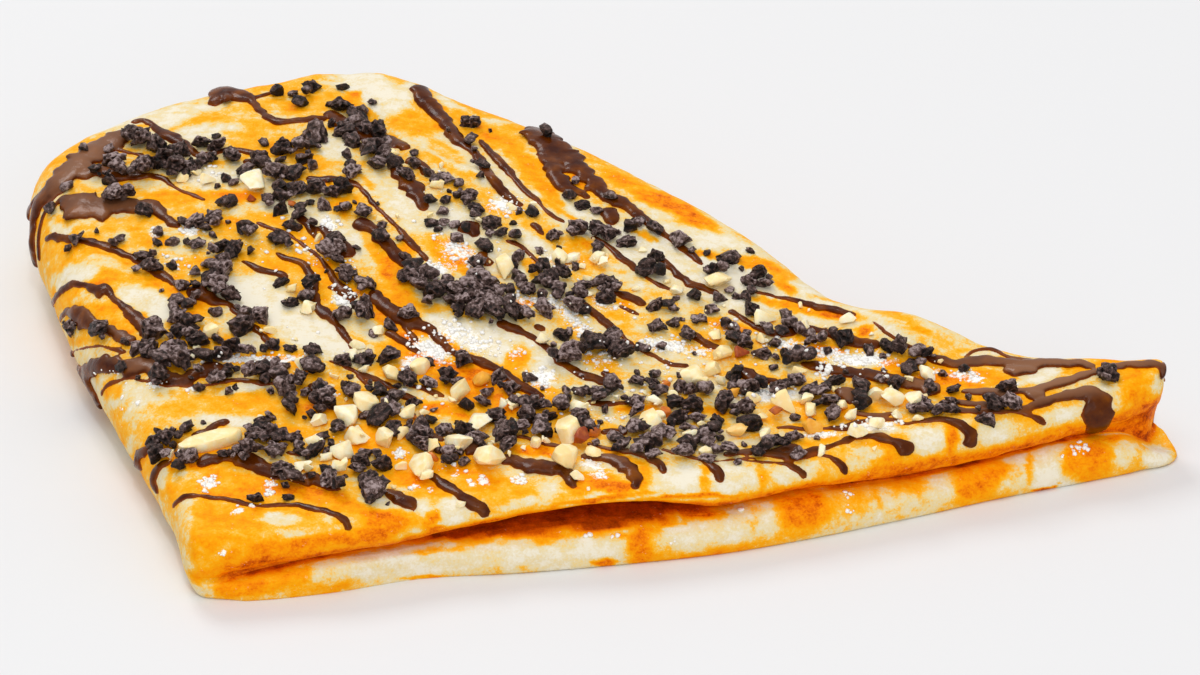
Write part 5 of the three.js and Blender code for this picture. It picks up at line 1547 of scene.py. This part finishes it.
# Chopped hazelnuts and almonds, with a fifth number for how much skin or roasting they show.
nutValues = {
    "lumps": [
        (183, 178, 16, 0), (196, 172, 14, 10), (208, 180, 20, 0), (212, 242, 8, 0), (255, 182, 27, 40),
        (252, 198, 12, 0, 1), (393, 153, 16, 0), (292, 204, 11, 0, 0.9), (380, 219, 10, -20),
        (318, 238, 10, 80), (437, 184, 18, -10), (503, 266, 28, 60), (598, 258, 20, 15), (572, 258, 20, 10),
        (581, 266, 12, 0), (511, 206, 14, -20), (533, 204, 10, 0), (430, 215, 9, 0), (478, 220, 9, 30),
        (560, 257, 18, -30), (587, 278, 14, 0), (589, 293, 12, 0), (643, 250, 10, -30), (718, 281, 34, -10),
        (677, 290, 18, 60), (667, 281, 8, 0), (636, 288, 12, 0), (603, 265, 14, 0), (765, 319, 28, -12),
        (803, 324, 13, -60), (716, 336, 14, 30), (762, 338, 14, -50), (723, 352, 20, 60),
        (742, 353, 20, 0, 1), (711, 368, 22, 10), (799, 370, 21, 0), (693, 378, 26, -30), (721, 380, 16, 60),
        (707, 311, 6, 0), (673, 395, 14, 0), (615, 397, 12, 0), (420, 366, 22, 25), (481, 378, 22, 30, 0.5),
        (459, 391, 26, 20), (483, 394, 10, 0), (539, 342, 18, 0), (578, 408, 18, -30), (568, 431, 32, 70),
        (580, 437, 17, -72, 1), (594, 431, 16, 40, 0.9), (480, 420, 32, 25), (513, 403, 16, 60),
        (503, 403, 12, 80), (514, 420, 12, 0), (536, 442, 14, -60), (458, 442, 28, -30), (431, 447, 20, 10),
        (491, 447, 14, -40), (408, 410, 18, 20), (424, 412, 16, 20), (413, 418, 12, 0, 0.8),
        (452, 403, 10, -30), (403, 432, 16, 60), (566, 456, 26, 20), (211, 331, 22, 10), (270, 330, 14, 20),
        (292, 288, 14, -20), (309, 307, 20, -60), (299, 366, 18, 40), (334, 376, 12, 0), (357, 344, 20, 0),
        (352, 355, 14, 70), (379, 331, 14, 30), (364, 369, 14, 0), (391, 373, 29, -20), (366, 402, 32, 10),
        (385, 402, 14, -40), (347, 416, 28, -65), (358, 434, 32, -15), (384, 437, 24, -60),
        (407, 412, 22, 10), (316, 437, 16, 0), (187, 358, 20, 70), (197, 347, 10, 60), (170, 456, 14, 50),
        (303, 466, 22, 0), (308, 470, 14, -60), (313, 441, 18, 10), (318, 419, 22, 10), (326, 457, 16, 10),
        (342, 450, 26, 20), (335, 466, 14, 0), (341, 465, 18, 10), (401, 466, 14, 30), (421, 466, 28, 65),
        (432, 459, 16, 0, 0.8), (428, 479, 18, 20), (491, 457, 36, -78), (461, 503, 14, 20),
        (460, 453, 8, 0), (593, 453, 16, -30), (577, 475, 18, -15), (629, 397, 12, -20), (655, 401, 18, 20),
        (671, 394, 14, 10), (666, 384, 12, 0, 0.8), (700, 382, 18, 10), (733, 392, 16, 0, 0.5),
        (752, 397, 20, 10), (675, 407, 6, 0), (666, 412, 14, -10, 0.8), (651, 422, 24, 60),
        (660, 416, 14, 0), (690, 434, 20, 10), (703, 424, 14, 0), (738, 430, 28, 0, 0.3), (758, 417, 10, 0),
        (706, 451, 16, 10), (545, 442, 10, 0), (926, 374, 23, -20), (909, 378, 12, 0), (877, 393, 22, 60),
        (893, 400, 29, -10), (913, 399, 22, 60), (784, 404, 26, -40), (806, 399, 18, 0), (808, 410, 18, 35),
        (762, 416, 14, 0), (776, 415, 16, 20, 0.9), (812, 425, 26, -5, 0.5), (843, 405, 14, -80),
        (850, 415, 18, 20), (897, 414, 14, 0), (918, 418, 14, 10), (857, 430, 24, 10), (877, 424, 20, 10),
        (764, 434, 16, 50), (820, 451, 14, 40), (848, 318, 20, 5),
    ],
    "slab": (210, 441, 66, 14),  # one long flat slice
    "slabForm": {"wide": (0.36, 0.38), "tall": (0.16, 0.18), "lean": 0.02},
    "slabCut": 0.35,  # its shape's half thickness over its radius before it is fitted
    "trim": 0.84,  # a kernel's size over the size given above
    "smallOnes": 90,
    "smallSizes": (4, 8),
    "smallStray": 16,
    "wide": (0.6, 0.95),
    "tall": (0.5, 0.8),
    "lean": 0.2,
    "lift": 0.4,
    "shapes": 18,
    "cuts": 8,  # knife cuts of a shape
    "cutDepths": (0.3, 0.66),
    "softEdge": 0.07,
    "waves": (0.16, 2.2),  # height and fineness of the unevenness of a shape
    "slabWaves": (0.12, 1.6),
    "seed": 29,
}


def makeNutShapes(values):
    # chopped kernels: rounded outsides, flat knife cuts, soft edges
    shapes = []
    for k in range(values["shapes"]):
        draw = random.Random(100 + k)
        piece = addSphere(2)
        bpy.ops.object.mode_set(mode="EDIT")
        for cut in range(values["cuts"]):
            bpy.ops.mesh.select_all(action="SELECT")
            away, depth = anyPlane(draw, values["cutDepths"])
            bpy.ops.mesh.bisect(plane_co=away * mm * depth, plane_no=away, use_fill=True, clear_outer=True)
        bpy.ops.object.mode_set(mode="OBJECT")
        applyModifier(piece, "softEdges", "BEVEL", width=values["softEdge"] * mm, segments=1, angle_limit=0.5)
        wave, fine = values["waves"]
        for vertex in piece.data.vertices:
            vertex.co *= 1 + wave * noise.noise(vertex.co / mm * fine + Vector((k * 2.9, 0, 0)))
        shapes.append(piece)
    # the slice: a round flattened kernel
    piece = addSphere(3)
    wave, fine = values["slabWaves"]
    half = values["slabCut"] * mm
    for vertex in piece.data.vertices:
        vertex.co *= 1 + wave * noise.noise(vertex.co / mm * fine)
        vertex.co.z = min(max(vertex.co.z, -half), half)
    shapes.append(piece)
    for piece in shapes:
        fitToUnit(piece)
    return shapes


def layNuts(values, tree):
    draw = random.Random(values["seed"])
    copies, laid = [], []
    for lump in values["lumps"] + scatterSmall(values, draw, tree):
        size = lump[2] * values["trim"]
        matrix = layLump(tree, laid, (lump[0], lump[1], size, lump[3]), draw, values)
        which = draw.randrange(values["shapes"])
        if matrix:
            copies.append((matrix, which, lump[4] if len(lump) > 4 else 0.0))
    slab = layLump(tree, [], values["slab"], draw, {**values, **values["slabForm"]})
    copies.append((slab, values["shapes"], 0.0))
    return copies


# Chopped hazelnut and almond: waxy ivory inside with a soft glow, golden where roasted, red-brown skin.
nutFinish = {
    "stops": [(0.2, "#fffbec"), (0.5, "#fff2cc"), (0.8, "#ffe09c")],
    "skinStops": [(0.0, "#ffeaae"), (0.45, "#fbb437"), (0.8, "#d9761a"), (1.0, "#9a3d0c")],
    "skinMask": [(0.1, 0.0), (0.3, 1.0)],  # the tint at which the skin begins and covers all
    "roughness": 0.42,
    "grainSize": 1.2,
    "glowDepth": 1.2,
    "shade": 0.3,  # how much the kernels differ from each other
    "roast": (0.5, 0.25),  # how uneven the skin is, and half of it taken off again
    "bump": (0.35, 0.3),
}


def makeNutMaterial(values):
    material, tree, shader = newMaterial("chopped roasted nut", {
        "Roughness": values["roughness"], "Specular IOR Level": 0.4, "Subsurface Weight": 0.15,
        "Subsurface Radius": (1.0, 0.6, 0.3), "Subsurface Scale": values["glowDepth"] * mm})
    coords = addNode(tree, "TexCoord", out="Object")
    grain = addNode(tree, "TexNoise", {"Vector": coords, "Scale": 1 / (values["grainSize"] * mm),
                                       "Detail": 4.0})
    shade, tint = (addNode(tree, "Attribute", out="Fac", attribute_name=name) for name in ("shade", "tint"))
    mixed = addNode(tree, "Math", {0: shade, 1: values["shade"], 2: grain}, operation="MULTIPLY_ADD")
    color = addNode(tree, "ValToRGB", {"Fac": mixed}, stops=values["stops"])
    much, less = values["roast"]
    roast = addNode(tree, "Math", {0: grain, 1: much, 2: tint}, operation="MULTIPLY_ADD")
    roast = addNode(tree, "Math", {0: roast, 1: less}, operation="SUBTRACT")
    skin = addNode(tree, "ValToRGB", {"Fac": roast}, stops=values["skinStops"])
    mask = addNode(tree, "ValToRGB", {"Fac": tint}, stops=values["skinMask"])
    color = addNode(tree, "MixRGB", {"Fac": mask, "Color1": color, "Color2": skin})
    linkFinish(tree, shader, color, grain, *values["bump"])
    return material


groundTree = treeOf([body, drizzle])
crumbCopies = layCrumbs(crumbValues, groundTree)
crumbs = joinCopies("cocoaCrumbs", makeCrumbShapes(crumbValues), crumbCopies)
# how far each face looks up, which the material paints paler as painted light from above
writeAttribute(crumbs, "upperFaceLight", np.clip(normalArray(crumbs)[:, 2], 0, 1))
finishPiece(crumbs, makeCrumbMaterial(crumbFinish), smoothAngle=0)

nutCopies = layNuts(nutValues, groundTree)
nuts = joinCopies("choppedNuts", makeNutShapes(nutValues), nutCopies)
finishPiece(nuts, makeNutMaterial(nutFinish), smoothAngle=38)


def makeSugar(values, tree, loose):
    # grains where the camera's rays through a round spot meet the crepe, and a few on what lies on it
    draw = random.Random(values["seed"])
    copies = []
    for u, v, longHalf, wideHalf, turn, count in values["spots"]:
        for k in range(round(count * values["crowd"])):
            out, way = draw.random() ** 0.5 * draw.uniform(*values["spread"]), draw.random() * 2 * math.pi
            along, across = out * math.cos(way) * longHalf, out * math.sin(way) * wideHalf
            ray = rayThrough(*turnedPixel(u, v, turn, along, across))
            place, normal, face, gap = tree.ray_cast(viewEye * mm, ray)
            size = blend(*values["sizes"], draw.random() ** values["sizeBend"])
            turned = Matrix.Rotation(draw.random() * 2 * math.pi, 4, "Z")
            which = draw.randrange(values["shapes"])
            covered = loose.ray_cast(viewEye * mm, ray)
            if draw.random() < values["onCrumbs"] and covered[0]:
                place, normal = covered[:2]
            elif covered[0] and place and covered[3] < gap:
                place = None
            if place:
                lie = normal.to_track_quat("Z", "Y").to_matrix().to_4x4() @ turned
                halves = Matrix.Diagonal((size / 2, size / 2, size / 2 * values["flatness"], 1))
                moved = Matrix.Translation(place + normal * size * values["lift"] * mm)
                copies.append((moved @ lie @ halves, which, 0.0))
    least, more = values["shapeRange"]
    shapes = []
    for k in range(values["shapes"]):
        grain = addSphere(1)
        for vertex in grain.data.vertices:
            vertex.co *= least + more * draw.random()
        shapes.append(grain)
    return joinCopies("icingSugar", shapes, copies)


# Icing sugar: fine ground sugar in small clots, bright white and matte.
sugarFinish = {
    "stops": [(0.3, "#f7f3ec"), (0.6, "#fffdf9")],
    "roughness": 0.85,
    "grainSize": 0.3,
}


def makeSugarMaterial(values):
    material, tree, shader = newMaterial("icing sugar", {
        "Roughness": values["roughness"], "Specular IOR Level": 0.3})
    coords = addNode(tree, "TexCoord", out="Object")
    grain = addNode(tree, "TexNoise", {"Vector": coords, "Scale": 1 / (values["grainSize"] * mm)})
    color = addNode(tree, "ValToRGB", {"Fac": grain}, stops=values["stops"])
    tree.links.new(color, shader.inputs["Base Color"])
    return material


sugar = makeSugar(sugarValues, groundTree, treeOf([crumbs, nuts]))
finishPiece(sugar, makeSugarMaterial(sugarFinish))
